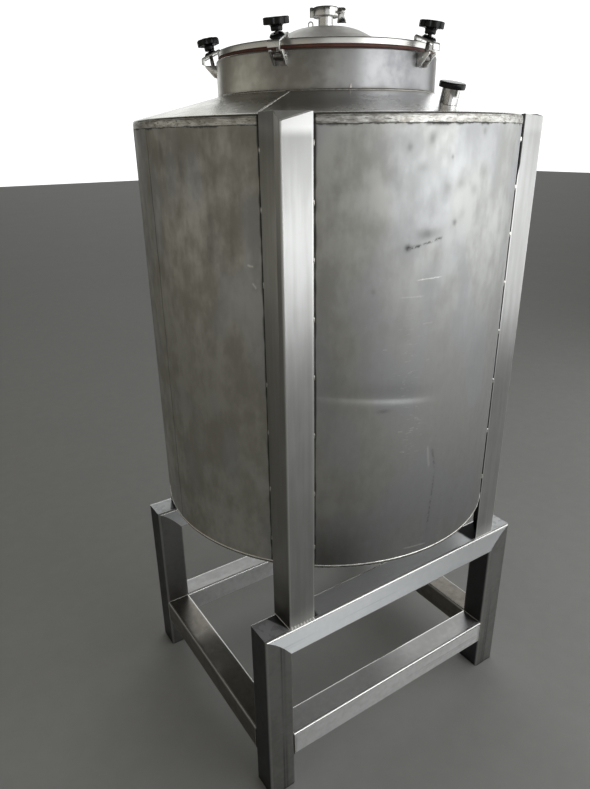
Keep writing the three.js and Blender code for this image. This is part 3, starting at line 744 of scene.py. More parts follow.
def roof_finish():
    """Smooth steel with a rough ground band round its turned edge, and brown heat tint beside the welds"""
    finish = Finish("roof_steel").unroll(SHELL_METRES)
    mottle = finish.mottle(0.12, 0.02, 0.7).step(0.38, 0.62)
    fine = finish.hair(size=0.0015)
    patches = finish.clouds(0.014, (0.5, 0.5, 1.6), detail=4.0, rough=0.7).step(0.36, 0.64)
    specks = finish.clouds(0.006, (0.5, 0.5, 1.8), rough=0.7).step(0.58, 0.66)
    band = finish.height.step(*BAND_TOP)
    tint = (finish.reach - NECK_METRES).step(*TINT_WIDTH) * 0.6
    # Painted shade: the left part of the roof is far darker than the right
    side = finish.x.step(*ROOF_SIDE)
    dark = finish.blend(side, (0.38, 0.37, 0.325, 1), (0.93, 0.93, 0.93, 1))
    pale = finish.blend(side, (0.485, 0.475, 0.43, 1), (1.0, 1.0, 1.0, 1))
    colour = finish.blend(tint * mottle, finish.blend(mottle, dark, pale), (0.4, 0.35, 0.27, 1))
    ground = finish.blend(patches, (0.44, 0.42, 0.38, 1), (0.8, 0.79, 0.76, 1))
    ground = finish.blend(specks * 0.6, ground, (0.05, 0.045, 0.04, 1))
    # Painted shade: black in the gaps where the posts pass the ground band
    ground = finish.blend(post_gap(finish, finish.clouds(0.05, detail=1.0)), ground, BLACK_SHADE)
    colour = finish.blend(band, colour, ground)
    rough = 0.2 + (1 - mottle) * 0.08 + band * (0.16 + specks * 0.2) + (fine - 0.5) * 0.04
    finish.surface(colour, rough, fine * 0.3 + band * patches * 0.7, 0.0003, 1 - band * specks * 0.5)
    return finish


def lid_finish():
    """Satin crown, a brushed rim that is paler and smoother, and a dark line of painted shade where they meet
    """
    finish = Finish("lid_steel").unroll(NECK_METRES)
    mottle = finish.mottle(0.1, 0.015, 0.7).step(0.38, 0.62)
    fine = finish.hair(size=0.0015)
    rim = finish.reach.step(*LID_RIM_START)
    fold = ((finish.reach - LID_FOLD).size() / 0.004).bell()
    colour = finish.blend(mottle, (0.84, 0.83, 0.81, 1), (0.94, 0.93, 0.91, 1))
    colour = finish.blend(rim, colour, (0.84, 0.83, 0.8, 1))
    colour = finish.blend(fold * 0.6, colour, (0.1, 0.095, 0.09, 1))
    rough = 0.5 + (1 - mottle) * 0.06 + (fine - 0.5) * 0.04 - rim * 0.22
    finish.surface(colour, rough, fine * 0.6 + mottle * 0.4)
    return finish


def neck_finish():
    """Steel that is brownish, cool on the right and pale on the far left, where a reflection is painted, and
    darker at its foot
    """
    finish = Finish("neck_steel").unroll(NECK_METRES)
    mottle = finish.mottle(0.1, 0.02, 0.6, (1, 1, 0.6)).step(0.36, 0.62)
    fine = finish.hair(GRAIN_UP)
    wavy = finish.x + (finish.clouds(0.05, detail=1.0) - 0.5) * 0.03
    colour = finish.blend(mottle, (0.36, 0.345, 0.32, 1), (0.44, 0.43, 0.41, 1))
    cool = finish.blend(mottle, (0.31, 0.31, 0.325, 1), (0.39, 0.39, 0.4, 1))
    colour = finish.blend(wavy.step(*NECK_RIGHT), colour, cool)
    # Painted reflection: pale steel on the far left of the neck
    left_reflection = finish.blend(mottle, (0.68, 0.665, 0.6, 1), (0.8, 0.79, 0.73, 1))
    colour = finish.blend(wavy.step(*NECK_LEFT), colour, left_reflection)
    colour = finish.blend(finish.height.step(*NECK_FOOT_DARK) * 0.4, colour, (0.1, 0.09, 0.075, 1))
    finish.surface(colour, 0.32 + (1 - mottle) * 0.1 + (fine - 0.5) * 0.05, fine * 0.6 + mottle * 0.4)
    return finish


shell_steel = shell_finish()
neck_steel = neck_finish()
roof_steel = roof_finish()
lid_steel = lid_finish()
print("shell marks:", len(DARK_SPOTS) + len(PALE_SPOTS) + len(SCUFFS) + len(SCRATCHES))

# %% [markdown]
# ## Rubber and plastic
# The seal is matt red-brown silicone. The knobs and the cap are black moulded plastic, glossy, with the faint
# waviness of moulding. Both are not metal, so their gloss comes from the shader's own reflection.

# %% Rubber and plastic finishes
def moulded(name, pale, dark, rough, cloud, relief):
    """Rubber, plastic or paint with faint clouds in its colour and roughness, and a little waviness"""
    finish = Finish(name)
    soft = finish.clouds(cloud)
    dust = finish.clouds(cloud / 12, detail=2.0)
    colour = finish.blend((soft * 0.6 + dust * 0.4).step(0.35, 0.7), dark, pale)
    finish.surface(colour, rough + (soft - 0.5) * 0.12, soft * 0.5 + dust * 0.5, relief, 0.0)
    return finish


seal_rubber = moulded("seal_rubber", (0.2, 0.075, 0.05, 1), (0.12, 0.04, 0.03, 1), 0.55, 0.03, 0.0003)
knob_plastic = moulded("knob_plastic", (0.01, 0.01, 0.011, 1), (0.005, 0.005, 0.006, 1), 0.22, 0.02, 0.0001)
knob_plastic.set(Specular_IOR_Level=0.3)
print("rubber and plastic ready")

# %% [markdown]
# ## The finish of the stand
# Square tube is drawn with a painted highlight on every bend and painted shade on its flats, so each edge of
# the stand shows as a white line. The bend is where both distances from the tube's middle are large at once,
# so the lesser of the two is a mask for it.

# %% Tube finishes
TUBE_LOW = 0.156
TUBE_HIGH = 0.533
TUBE_X = 0.429
TUBE_Y = 0.357
TUBE_BEND = (0.033, 0.036)
TUBE_FACE = (0.0395, 0.0405)
BETWEEN_RAILS = (0.3, 0.4)
UPPER = (0.5, 0.55)
NOOK_START = (0.292, 0.304)
NOOK_END = (0.39, 0.388)
POST_SIDE = 0.388
STAND_ENDS = (-0.42, 0.42)
CORNER_SHADE = (0.385, 0.4)
RAIL_END = (0.366, 0.388)
LOW_RAILS = (0.25, 0.2)
FRONT_FACE = (0.396, 0.39)
MIDDLE = (-0.1, 0.1)
BEND_HIGHLIGHT = {"X": 1.0, "Y": 0.5, "Z": 0.25}
# Painted light: the four kinds of tube are one steel, given their own tones for the light on each, pale top
# rails, mid low rails, dark legs and brown side rails
GREY_DARK = (0.92, 0.94, 0.955, 1)
GREY_PALE = (0.97, 0.985, 1.0, 1)
LOW_DARK = (0.62, 0.62, 0.615, 1)
LOW_PALE = (0.72, 0.72, 0.715, 1)
LEG_DARK = (0.41, 0.405, 0.395, 1)
LEG_PALE = (0.49, 0.485, 0.48, 1)
BROWN_DARK = (0.19, 0.178, 0.158, 1)
BROWN_PALE = (0.26, 0.243, 0.218, 1)


def tube_finish(name, run, dark, pale, rough, stretch, turn, fade=(0, 0), top_shade=0.15):
    """Tube along X, Y or Z: flats with cloudy colour and a faint line along them, and bends with a painted
    highlight.
    Painted shade darkens the top faces, the faces of the legs that look along X, the nooks inside the posts
    and the corners beside them. Fade darkens the tube by one share at its left end and by another at its
    right, as painted shade."""
    finish = Finish(name)
    x, y, z = finish.axes()
    middle = TUBE_LOW + (TUBE_HIGH - TUBE_LOW) * z.step(*BETWEEN_RAILS)
    off = {"X": x.size() - TUBE_X, "Y": y.size() - TUBE_Y, "Z": z - middle}
    first, second = (off[axis].size() for axis in "XYZ" if axis != run)
    bend = first.least(second).step(*TUBE_BEND)
    long = tuple(0.4 if axis == run else 1 for axis in "XYZ")
    cloud = finish.mottle(0.09, 0.02, 0.6, long)
    mix = cloud.step(0.38, 0.62)
    fine = finish.hair(tuple(0.03 if axis == run else 1 for axis in "XYZ"))
    roughness = rough + (1 - mix) * 0.08 + (fine - 0.5) * 0.05
    if run == "Z":
        beside = off["X"]
        # Painted shade: the leg faces that look towards -X dark, and both faces along X a little
        dull = (-(beside * x.math("SIGN"))).step(*TUBE_FACE) * 0.92
        dull = dull.most(beside.size().step(*TUBE_FACE) * 0.2)
        share = y.step(*MIDDLE) * (1 - x.step(*MIDDLE)) * 0.35
    else:
        beside = off["Z"]
        top = beside.step(*TUBE_FACE)
        nook = x.size().step(*NOOK_START) * x.size().step(*NOOK_END) * z.step(*UPPER)
        nook = nook * y.size().step(*NOOK_END)
        # Painted shade: the top faces darker by their share, and black in the nook inside each post
        dull = top * (top_shade + nook * (0.99 - top_shade))
        # Painted shade towards one end of the rail
        share = fade[0] + (fade[1] - fade[0]) * x.step(*STAND_ENDS)
        roughness = roughness * (1 - top * 0.4) + dull * nook * 0.3
    if run == "X":
        # Painted shadow: dark corners on the top faces of the rails beside the posts, dark ends of the low
        # rails, and a dark wedge beside each post's foot
        corner = top * x.size().step(*CORNER_SHADE) * finish.clouds(0.02, detail=2.0).step(0.4, 0.6)
        share = share.most(corner * 0.55).most(z.step(*LOW_RAILS) * x.size().step(*RAIL_END) * 0.45)
        wedge = x.size() - POST_SIDE - (POST_SIDE - y.size()) * 0.45
        wedge = wedge.step(0.012, 0.002) * x.size().step(POST_SIDE - 0.004, POST_SIDE)
        share = share.most(top * z.step(*UPPER) * wedge * y.size().step(*FRONT_FACE) * 0.9)
    weak = finish.clouds(0.15, long, detail=1.0).step(0.35, 0.65) * (0.55 if run == "Z" else 0.25)
    crease = (((beside + 0.004) / 0.003).bell() + ((beside + 0.013) / 0.004).bell() * 0.7) * weak
    colour = finish.blend(mix, dark, pale)
    colour = finish.blend(crease.most(dull).most(share), colour, (0.06, 0.06, 0.065, 1))
    # Painted highlight: the bends take a pale colour and a low roughness
    bend = bend * BEND_HIGHLIGHT[run]
    colour = finish.blend(bend, colour, (0.86, 0.86, 0.85, 1))
    roughness = roughness * (1 - bend) + 0.2 * bend
    finish.set(Anisotropic=stretch, Anisotropic_Rotation=turn)
    finish.surface(colour, roughness, fine * 0.6 + cloud * 0.4)
    return finish


# Four copies of one tube steel, each toned for its painted light and shade
leg_steel = tube_finish("leg_steel", "Z", LEG_DARK, LEG_PALE, 0.36, 0.8, 0.0)
rail_steel = tube_finish("rail_steel", "X", GREY_DARK, GREY_PALE, 0.64, 0.92, 0.25, (0.0, 0.42), 0.42)
low_rail_steel = tube_finish("low_rail_steel", "X", LOW_DARK, LOW_PALE, 0.56, 0.92, 0.25, (0.24, 0.0), 0.25)
side_rail_steel = tube_finish("side_rail_steel", "Y", BROWN_DARK, BROWN_PALE, 0.36, 0.8, 0.25)
print("tube finishes ready")

# %% [markdown]
# ## The stand
# The stand is welded from one size of square tube. The front and back portals are mitred at their top
# corners, and four low rails tie the legs. A tube is its section carried along a line, with each end cut by a
# plane, so the coordinate along the tube is a function of the two coordinates across it.

# %% Tubes
TUBE = 82
TUBE_WALL = 3
TUBE_ROUND = 7
TUBE_FLATS = 12
MITRE_BULGE = 9
STAND_HALF_X = 470
STAND_HALF_Y = 398
STAND_TOP = 574
LOW_RAIL_TOP = 197
FOOT_PLATE = 4
LEG_START = 0.2
SOFT_EDGE = 0.5
leg_x = STAND_HALF_X - TUBE / 2
leg_y = STAND_HALF_Y - TUBE / 2
low_rail_z = LOW_RAIL_TOP - TUBE / 2


def tube(axis, centre, low, high):
    """A square tube along an axis. Its two coordinates across come from the section, and the third from the
    functions low and high of those two: a grid of outside low, outside high, inside high, inside low."""
    outside = rounded_square(TUBE, TUBE_ROUND, flats=TUBE_FLATS) + centre
    inside = rounded_square(TUBE - 2 * TUBE_WALL, TUBE_ROUND - TUBE_WALL, flats=TUBE_FLATS) + centre
    columns = []
    for section, end in ((outside, low), (outside, high), (inside, high), (inside, low)):
        a, b = section.T
        along = end(a, b)
        order = {"X": (along, a, b), "Y": (a, along, b), "Z": (a, b, along)}[axis]
        columns.append(np.stack(order, axis=-1))
    return grid(np.stack(columns, axis=1), wrap_rows=True, wrap_columns=True)


mitre_in = np.linspace(0, TUBE, 42)
mitre_fall = mitre_in - MITRE_BULGE * np.sin(math.pi * mitre_in / TUBE)


def mitre_height(x, y):
    """Height of the mitre at a leg. It falls from the outer top corner to the inner lower one, slowly at
    first, because the joint was cut a little round: the way down is the way in less half a sine wave."""
    return STAND_TOP - np.interp(STAND_HALF_X - np.abs(x), mitre_in, mitre_fall)


def mitre_reach(y, z):
    """How far a top rail reaches at each height: the same curve, read the other way"""
    return STAND_HALF_X - np.interp(STAND_TOP - z, mitre_fall, mitre_in)


def level(value):
    """A square cut: the same coordinate at every point of the section"""
    return lambda a, b: np.full_like(a, float(value))


HANDS = (("left", -1), ("right", 1))
BANKS = (("front", -1), ("back", 1))
CORNERS = [(bank, hand, sx, sy) for bank, sy in BANKS for hand, sx in HANDS]
for bank, sy in BANKS:
    for hand, sx in HANDS:
        place = (sx * leg_x, sy * leg_y)
        leg = tube("Z", place, level(LEG_START), mitre_height)
        foot = prism(rounded_square(TUBE, TUBE_ROUND) + place, 0, FOOT_PLATE, SOFT_EDGE)
        node = f"leg_{bank}_{hand}"
        put(f"{node}_tube", together([leg, foot]), leg_steel, node, "stand_steel")
    rail = tube("X", (sy * leg_y, STAND_TOP - TUBE / 2), lambda y, z: -mitre_reach(y, z), mitre_reach)
    put(f"top_rail_{bank}_tube", rail, rail_steel, f"top_rail_{bank}", "stand_steel", grain="X")
    rail = tube("X", (sy * leg_y, low_rail_z), level(TUBE - STAND_HALF_X), level(STAND_HALF_X - TUBE))
    put(f"low_rail_{bank}_tube", rail, low_rail_steel, f"low_rail_{bank}", "stand_steel", grain="X")
for hand, sx in HANDS:
    rail = tube("Y", (sx * leg_x, low_rail_z), level(TUBE - STAND_HALF_Y), level(STAND_HALF_Y - TUBE))
    put(f"low_rail_{hand}_tube", rail, side_rail_steel, f"low_rail_{hand}", "stand_steel", grain="Y")
print("legs:", len(CORNERS), "mitre points:", len(mitre_in))

# %% [markdown]
# ## The posts
# Four posts of bent angle carry the shell. Each free edge stands against the shell and is tacked to it. The
# section is an L with a soft bend at the corner, and the top is cut on a slope that falls towards the corner.

# %% Posts
POST_CORNER = 392
POST_LEG = 78
POST_THICK = 4
POST_TOP_LEFT = 1793
POST_TOP_RIGHT = 1806
POST_TOP_EDGE = 1812
POST_BEND = 6
POST_KNEE = 22
SHELL_R = 500
FIT = 0.3
INNER_FACE = (0.3885, 0.3895)
SIDE_FACE = (0.3912, 0.3918)
EDGE_LINE = 0.3165
BEND_LINE = 0.389
EDGE_HALF = 0.0018
TOUCHING = (0.503, 0.5008)
BELOW_SHELL = (0.8, 0.74)
GROUND_FOOT = (0.625, 0.595)
UNDER_TOP = (1.79, 1.75)
TOP_END = (1.762, 1.785)
LEFT_FACE_SHADE = (0.76, 0.66)
LEFT_FOOT_SHADE = (0.64, 0.59)
WHITE_STEEL = (0.97, 0.97, 0.96, 1)


def shell_touch(across):
    """Where a line at this distance from the axis meets the outside of the shell"""
    return math.sqrt((SHELL_R + FIT) ** 2 - across ** 2)


def post_section(sx, sy):
    """The L of one post, anticlockwise, with its bend rounded outside and inside"""
    edge = POST_CORNER - POST_LEG
    inner = POST_CORNER - POST_THICK
    touch = shell_touch(inner)
    knee = POST_CORNER - POST_KNEE
    corners = np.array([(edge, POST_CORNER), (touch, inner), (inner, inner), (inner, knee), (inner, touch),
                        (POST_CORNER, edge), (POST_CORNER, knee), (POST_CORNER, POST_CORNER)], float)
    soft = softened(corners, [0.5, 0.5, POST_BEND - POST_THICK, 3, 0.5, 0.5, 3, POST_BEND], steps=5)
    soft = soft * [sx, sy]
    return soft if sx * sy > 0 else soft[::-1]


def post_top(x, y):
    """The cut at the top: it rises from the corner, slowly along the front face and soon along the side
    face. On the right-hand posts it is nearly level."""
    corner = np.where(x > 0, POST_TOP_RIGHT, POST_TOP_LEFT)
    along_front = (POST_CORNER - np.abs(x)) / POST_LEG
    along_side = (POST_CORNER - np.abs(y)) / POST_KNEE
    share = np.clip(np.maximum(along_front, along_side), 0, 1)
    return corner + share * (POST_TOP_EDGE - corner)


def post_finish():
    """Post steel with soft bands along it, pale ground feet, black painted shade where its free edges meet
    the shell and on its inner faces, painted shade on the left faces, and painted highlights on the front
    faces
    """
    finish = Finish("post_steel")
    x, y, z = finish.axes()
    mottle = finish.clouds(0.1, (1, 1, 0.5))
    bands = finish.clouds(0.012, (1, 1, 0.05), detail=2.0)
    fine = finish.hair(GRAIN_UP)
    open_top = x.step(0.0, 0.1) * z.step(*GAP_OPEN)
    # Painted shade: black where the free edges touch the shell and on the inner faces below it
    crevice = ((x * x + y * y).math("SQRT") - open_top * 0.004).step(*TOUCHING)
    inside = (1 - x.size().step(*INNER_FACE)) * (1 - y.size().step(*INNER_FACE)) * z.step(*BELOW_SHELL)
    ground = (z + (finish.clouds(0.02) - 0.5) * 0.03).step(*GROUND_FOOT)
    colour = finish.blend((mottle * 0.6 + bands * 0.4).step(0.36, 0.64), (0.5, 0.5, 0.49, 1),
                          (0.6, 0.6, 0.6, 1))
    colour = finish.blend(ground * 0.5, colour, (0.72, 0.72, 0.71, 1))
    # Painted shade: the left faces olive and darker, most towards the foot
    side = (-x).step(*SIDE_FACE) * z.step(*UNDER_TOP)
    colour = finish.blend(side * 0.3, colour, (0.12, 0.11, 0.05, 1))
    darkening = side * (z.step(*LEFT_FACE_SHADE) * 0.35 + z.step(*LEFT_FOOT_SHADE) * 0.45)
    colour = finish.blend(darkening, colour, (0.02, 0.017, 0.012, 1))
    # Painted highlight: the top end of the front faces and lines along their free edge and bend
    front = (-y).step(*INNER_FACE)
    tip = z.step(*TOP_END) * front * (1 - x.step(*MIDDLE) * 0.8)
    colour = finish.blend(tip, colour, WHITE_STEEL)
    edge, bend = (((x.size() - place) / EDGE_HALF).bell() for place in (EDGE_LINE, BEND_LINE))
    colour = finish.blend(edge.most(bend) * front * 0.6, colour, WHITE_STEEL)
    colour = finish.blend(crevice.most(inside * 0.97), colour, BLACK_SHADE)
    rough = 0.38 + (1 - mottle) * 0.08 + ground * 0.08 + (fine - 0.5) * 0.05
    relief = fine * 0.6 + ground * finish.clouds(0.004) * 0.4
    finish.surface(colour, rough, relief, 0.00005, 1 - crevice * 0.6)
    return finish


post_steel = post_finish()
for bank, hand, sx, sy in CORNERS:
    node = f"post_{bank}_{hand}"
    put(f"{node}_angle", prism(post_section(sx, sy), STAND_TOP, post_top, SOFT_EDGE), post_steel, node)
print("posts:", len(CORNERS))

# %% [markdown]
# ## The vessel
# The shell is one rolled sheet. It isn't a perfect cylinder: a long shallow dent runs across its front, and
# the sheet waves a little. Both are added to the radius, so light and outline follow them.

# %% Shell
PLATE = 3
SHELL_BOTTOM = 744
SHELL_TOP = 1790
SHELL_STEPS = 384
DENT_LOW = 1165
DENT_HIGH = 1265
DENT_MIDDLE = 1214
DENT_LEFT = -34
DENT_SLOPE = 0.85
DENT_ABOVE = 26
DENT_BELOW = 11
DENT_TURN = -23.5
DENT_SPREAD = 16.5
DENT_DEPTH = 2.1
WAVES = ((0.45, 5, 210, 0), (0.35, 9, -140, 1), (0.2, 14, 90, 2))
WAVE_DEPTH = 0.4
END_FADE = 40
DENT_ROWS = 60
COARSE_ROWS = 60
INNER_ROWS = 24


def dent(angle, height):
    """Depth of the dent in millimetres: a bell across its crease, which drops a little to the right, wider
    above than below, times a smooth window along it. The angle runs from the front, in degrees."""
    crease = DENT_MIDDLE - (angle - DENT_LEFT) * DENT_SLOPE
    away = height - crease
    across = np.exp(-(away / np.where(away > 0, DENT_ABOVE, DENT_BELOW)) ** 2)
    along = np.exp(-((angle - DENT_TURN) / DENT_SPREAD) ** 4)
    return DENT_DEPTH * across * along


def sheet_wave(angle, height):
    """The slow wave of rolled sheet: a sum of three long ripples that run round and up"""
    a = np.radians(angle)
    return sum(size * np.sin(turns * a + height / rise + start) for size, turns, rise, start in WAVES)


def sheet_radius(angle, height):
    """Radius of the sheet's outside: less by the dent and the wave, which fade out at both ends"""
    inside = np.minimum(height - SHELL_BOTTOM, SHELL_TOP - height)
    window = np.clip(inside / END_FADE, 0, 1)
    return SHELL_R - (dent(angle, height) + WAVE_DEPTH + WAVE_DEPTH * sheet_wave(angle, height)) * window


angle = np.linspace(-180, 180, SHELL_STEPS, endpoint=False)[:, None]
height = np.concatenate([
    np.linspace(SHELL_BOTTOM, DENT_LOW, COARSE_ROWS, endpoint=False),
    np.linspace(DENT_LOW, DENT_HIGH, DENT_ROWS, endpoint=False),
    np.linspace(DENT_HIGH, SHELL_TOP, COARSE_ROWS),
])[None, :]
inner_height = np.linspace(SHELL_TOP, SHELL_BOTTOM, INNER_ROWS)[None, :]
radius = np.concatenate([sheet_radius(angle, height), sheet_radius(angle, inner_height) - PLATE], axis=1)
level_z = np.broadcast_to(np.concatenate([height, inner_height], axis=1), radius.shape)
turn = np.radians(angle)
shell = grid(np.stack([radius * np.sin(turn), -radius * np.cos(turn), level_z], axis=-1),
             wrap_rows=True, wrap_columns=True)
put("shell_plate", shell, shell_steel, "shell")
print("shell points:", len(shell.points), "deepest dent in millimetres:", DENT_DEPTH)

# %% Roof and bottom
CONE_ANGLE = math.radians(14)
CONE_SLOPE = math.tan(CONE_ANGLE)
ROOF_LIP = 18
BOTTOM_LIP = 9
EDGE_ROUND = 7
EDGE_ARC = 7
CONE_EDGE = 12
CONE_ROWS = 24
ROOF_STEPS = 288
BOTTOM_STEPS = 240
NECK_R = 281
DRAIN_BORE = 24


def head_profile(lip, inner_r):
    """Half section of a cone head as radius and distance beyond the shell: up the turned edge, round it, and
    in along the cone, then back on the inside"""
    centre = lip - EDGE_ROUND * (1 - math.sin(CONE_ANGLE)) / math.cos(CONE_ANGLE)
    turn = np.linspace(0, TAU / 4 - CONE_ANGLE, EDGE_ARC)
    around = np.column_stack([np.cos(turn), np.sin(turn)])
    outside = [SHELL_R - EDGE_ROUND, centre] + EDGE_ROUND * around
    inside = [SHELL_R - EDGE_ROUND, centre] + (EDGE_ROUND - PLATE) * around[::-1]
    reach = np.linspace(SHELL_R - CONE_EDGE, inner_r, CONE_ROWS)
    cone = np.column_stack([reach, lip + (SHELL_R - reach) * CONE_SLOPE])
    under = cone[::-1] - [0, PLATE / math.cos(CONE_ANGLE)]
    return np.concatenate([[[SHELL_R - PLATE, 0], [SHELL_R, 0]], outside, cone, under, inside])


def roof_z(r):
    """Height of the roof's outside at a distance from the axis"""
    return SHELL_TOP + ROOF_LIP + (SHELL_R - r) * CONE_SLOPE


def bottom_z(r):
    """Height of the bottom's outside at a distance from the axis"""
    return SHELL_BOTTOM - BOTTOM_LIP - (SHELL_R - r) * CONE_SLOPE


roof = head_profile(ROOF_LIP, NECK_R - PLATE) + [0, SHELL_TOP]
put("roof_plate", lathe(roof, ROOF_STEPS), roof_steel, "roof_cone")
bottom = head_profile(BOTTOM_LIP, DRAIN_BORE) * [1, -1] + [0, SHELL_BOTTOM]
put("bottom_plate", lathe(bottom, BOTTOM_STEPS), shell_steel, "bottom_head")
print("roof height at the neck:", round(roof_z(NECK_R)))

# %% Manway neck, seal and lid
NECK_TOP = 1946
NECK_ROUND = 5
SEAT_R = 260
GASKET_R = 275.5
GASKET_INNER = 262
GASKET_THICK = 7
LID_R = 276
LID_SHEET = 3.4
LID_RIM = 14
LID_EDGE = 3.5
CROWN_FOOT = 200
CROWN_FLAT = 50
CROWN_RISE = 52
CROWN_ROWS = 60
RIM_INNER = 20
PIPE_R = 19
PIPE_BORE = 17.5
lid_base = NECK_TOP + GASKET_THICK
lid_flat = lid_base + LID_RIM
crown_z = lid_flat + CROWN_RISE
LID_STEPS = 240

neck_base = roof_z(NECK_R - PLATE) + FIT
neck = softened([(NECK_R, roof_z(NECK_R) + FIT), (NECK_R, NECK_TOP), (SEAT_R, NECK_TOP),
                 (SEAT_R, NECK_TOP - PLATE), (NECK_R - PLATE, NECK_TOP - PLATE), (NECK_R - PLATE, neck_base)],
                [0.2, NECK_ROUND, 0.8, 0.8, 2, 0.2], steps=5)
put("neck_plate", lathe(neck, LID_STEPS), neck_steel, "manway_neck")

seal = softened(oblong(GASKET_INNER, GASKET_R, NECK_TOP, lid_base), 2.2, steps=4)
put("lid_seal", lathe(seal, LID_STEPS), seal_rubber, "lid_gasket")


def crown(r):
    """The crown of the lid rises from its foot to its flat top along half a cosine wave"""
    share = np.clip((r - CROWN_FLAT) / (CROWN_FOOT - CROWN_FLAT), 0, 1)
    return lid_flat + CROWN_RISE * (0.5 + 0.5 * np.cos(math.pi * share))


reach = np.linspace(CROWN_FOOT, PIPE_BORE, CROWN_ROWS)
top_side = np.column_stack([reach, crown(reach)])
under_side = top_side[::-1] - [0, LID_SHEET]
rim = softened([(LID_R - LID_SHEET, lid_base), (LID_R, lid_base), (LID_R, lid_flat),
                (LID_R - RIM_INNER, lid_flat)], [0.6, 1.0, LID_EDGE, 1], steps=6, closed=False)
rim_inside = [(LID_R - LID_SHEET, lid_flat - LID_SHEET)]
lid = np.concatenate([rim, top_side, under_side, rim_inside])
put("lid_plate", lathe(lid, LID_STEPS), lid_steel, "lid")
print("top of the crown:", crown_z)

# %% Lid pipe, cap and its clamp
FERRULE_R = 25.25
FERRULE_TAPER = 2
FERRULE_EDGE = 3
LID_PIPE_LENGTH = 36
PIPE_FILLET = 1.5
ferrule_z = crown_z + LID_PIPE_LENGTH
taper_start = PIPE_R + PIPE_FILLET
taper_high = FERRULE_TAPER + FERRULE_EDGE
PIPE_STEPS = 96

pipe = softened([(PIPE_BORE, crown_z), (PIPE_R, crown_z), (PIPE_R, ferrule_z - taper_high - PIPE_FILLET),
                 (taper_start, ferrule_z - taper_high), (FERRULE_R, ferrule_z - FERRULE_EDGE),
                 (FERRULE_R, ferrule_z), (PIPE_BORE, ferrule_z)], 0.6)
put("lid_pipe_turned", lathe(pipe, PIPE_STEPS), fitting_steel, "lid_pipe")
blank_top = ferrule_z + taper_high + PIPE_FILLET
blank = softened([(0, ferrule_z), (FERRULE_R, ferrule_z), (FERRULE_R, ferrule_z + FERRULE_EDGE),
                  (taper_start, ferrule_z + taper_high), (PIPE_R, blank_top), (0, blank_top)],
                 0.6, closed=False)
put("lid_pipe_blank", lathe(blank, PIPE_STEPS, closed=False), fitting_steel, "lid_pipe_cap")

PIPE_CLAMP_TURN = -30
PIPE_CLAMP_R = 33
PIPE_CLAMP_HIGH = 22
LIP_R = 22
GROOVE_R = 26.5
SEAT_GAP = 0.2
BARREL_R = 5
EAR_PLATE_LENGTH = 18
EAR_PLATE_DEPTH = 12
EAR_SPLIT = 4


def flank(r):
    """Half height of the clamp's groove at a radius: it follows the taper of the ferrule with a small gap"""
    return taper_high - FERRULE_TAPER * (r - taper_start) / (FERRULE_R - taper_start) + SEAT_GAP


half_clamp = PIPE_CLAMP_HIGH / 2
groove = [(r, flank(r)) for r in (LIP_R, GROOVE_R)]
groove += [(r, -high) for r, high in groove[::-1]]
ring = softened(oblong(LIP_R, PIPE_CLAMP_R, -half_clamp, half_clamp) + groove,
                [1.5, 3, 3, 1.5, 0.4, 0.4, 0.4, 0.4], steps=4)
ear_deep = (EAR_PLATE_DEPTH - EAR_SPLIT) / 2
ear_outline = softened(oblong(PIPE_CLAMP_R - 2, PIPE_CLAMP_R + EAR_PLATE_LENGTH, -half_clamp, half_clamp),
                       [0.5, 8, 8, 0.5], steps=5)
barrel = bar(BARREL_R, -half_clamp, half_clamp, 1, 32).moved(-PIPE_CLAMP_R - BARREL_R / 2, 0, 0)
ears = two_plates(ear_outline, (EAR_SPLIT + ear_deep) / 2, ear_deep, 0.7)
clamp_ring = together([lathe(ring, PIPE_STEPS), *ears, barrel])
clamp_ring = clamp_ring.turned("Z", PIPE_CLAMP_TURN).moved(0, 0, ferrule_z)
put("lid_pipe_clamp_ring", clamp_ring, fitting_steel, "lid_pipe_clamp")
print("ferrule height:", ferrule_z)

# %% Wing nut and eye
WING_BOLT_REACH = PIPE_CLAMP_R + 7
WING_BOLT_LENGTH = 34
ear_face = EAR_PLATE_DEPTH / 2 + FIT
bolt_start = ear_face + 2
wing_outline = softened([(-4, -6), (4, -6), (10, 10), (13, 24), (8, 26), (3, 12), (-3, 12), (-8, 26),
                         (-13, 24), (-10, 10)], 3, steps=4)
wing_set = together([
    bar(3, -bolt_start, WING_BOLT_LENGTH - bolt_start),
    bar(5.5, ear_face, ear_face + 8, 0.8, top=4.6),
    bar(5, -ear_face - 4, -ear_face, 0.8, 6),
]).turned("X", 90)
wing_blade = standing(prism(wing_outline, ear_face + 3.5, ear_face + 6, 0.8)).turned("Y", 180)
wing_set = together([wing_set, wing_blade]).moved(WING_BOLT_REACH, 0, 0)
wing_set = wing_set.turned("Z", PIPE_CLAMP_TURN).moved(0, 0, ferrule_z)
put("lid_pipe_wing_bolt", wing_set, fitting_steel, "lid_pipe_wing_nut")

EYE_REACH = 38
EYE_RISE = 16
EYE_HALF = 5.5
EYE_WIRE_R = 1.8
bend = np.linspace(0, math.pi, 14)
arch = np.column_stack([EYE_HALF * np.cos(bend), 0 * bend, EYE_RISE - EYE_HALF + EYE_HALF * np.sin(bend)])
foot = np.array([[EYE_HALF, 0, -0.5], [EYE_HALF, 0, 5]])
eye_path = np.concatenate([foot, arch, foot[::-1] * [-1, 1, 1]])
eye = bead(eye_path, (0, 1, 0), EYE_WIRE_R, EYE_WIRE_R, 400, ripple=0)
eye = eye.moved(-EYE_REACH, 0, crown_z).turned("Z", PIPE_CLAMP_TURN)
put("lid_eye_wire", eye, fitting_steel, "lid_eye")
print("small fittings ready")

# %% Roof nozzle and its cap
NOZZLE_TURN = -88
NOZZLE_REACH = 425
NOZZLE_LENGTH = 39
NOZZLE_EDGE = 4
CAP_R = 28
CAP_SKIRT = 8
CAP_THICK = 4


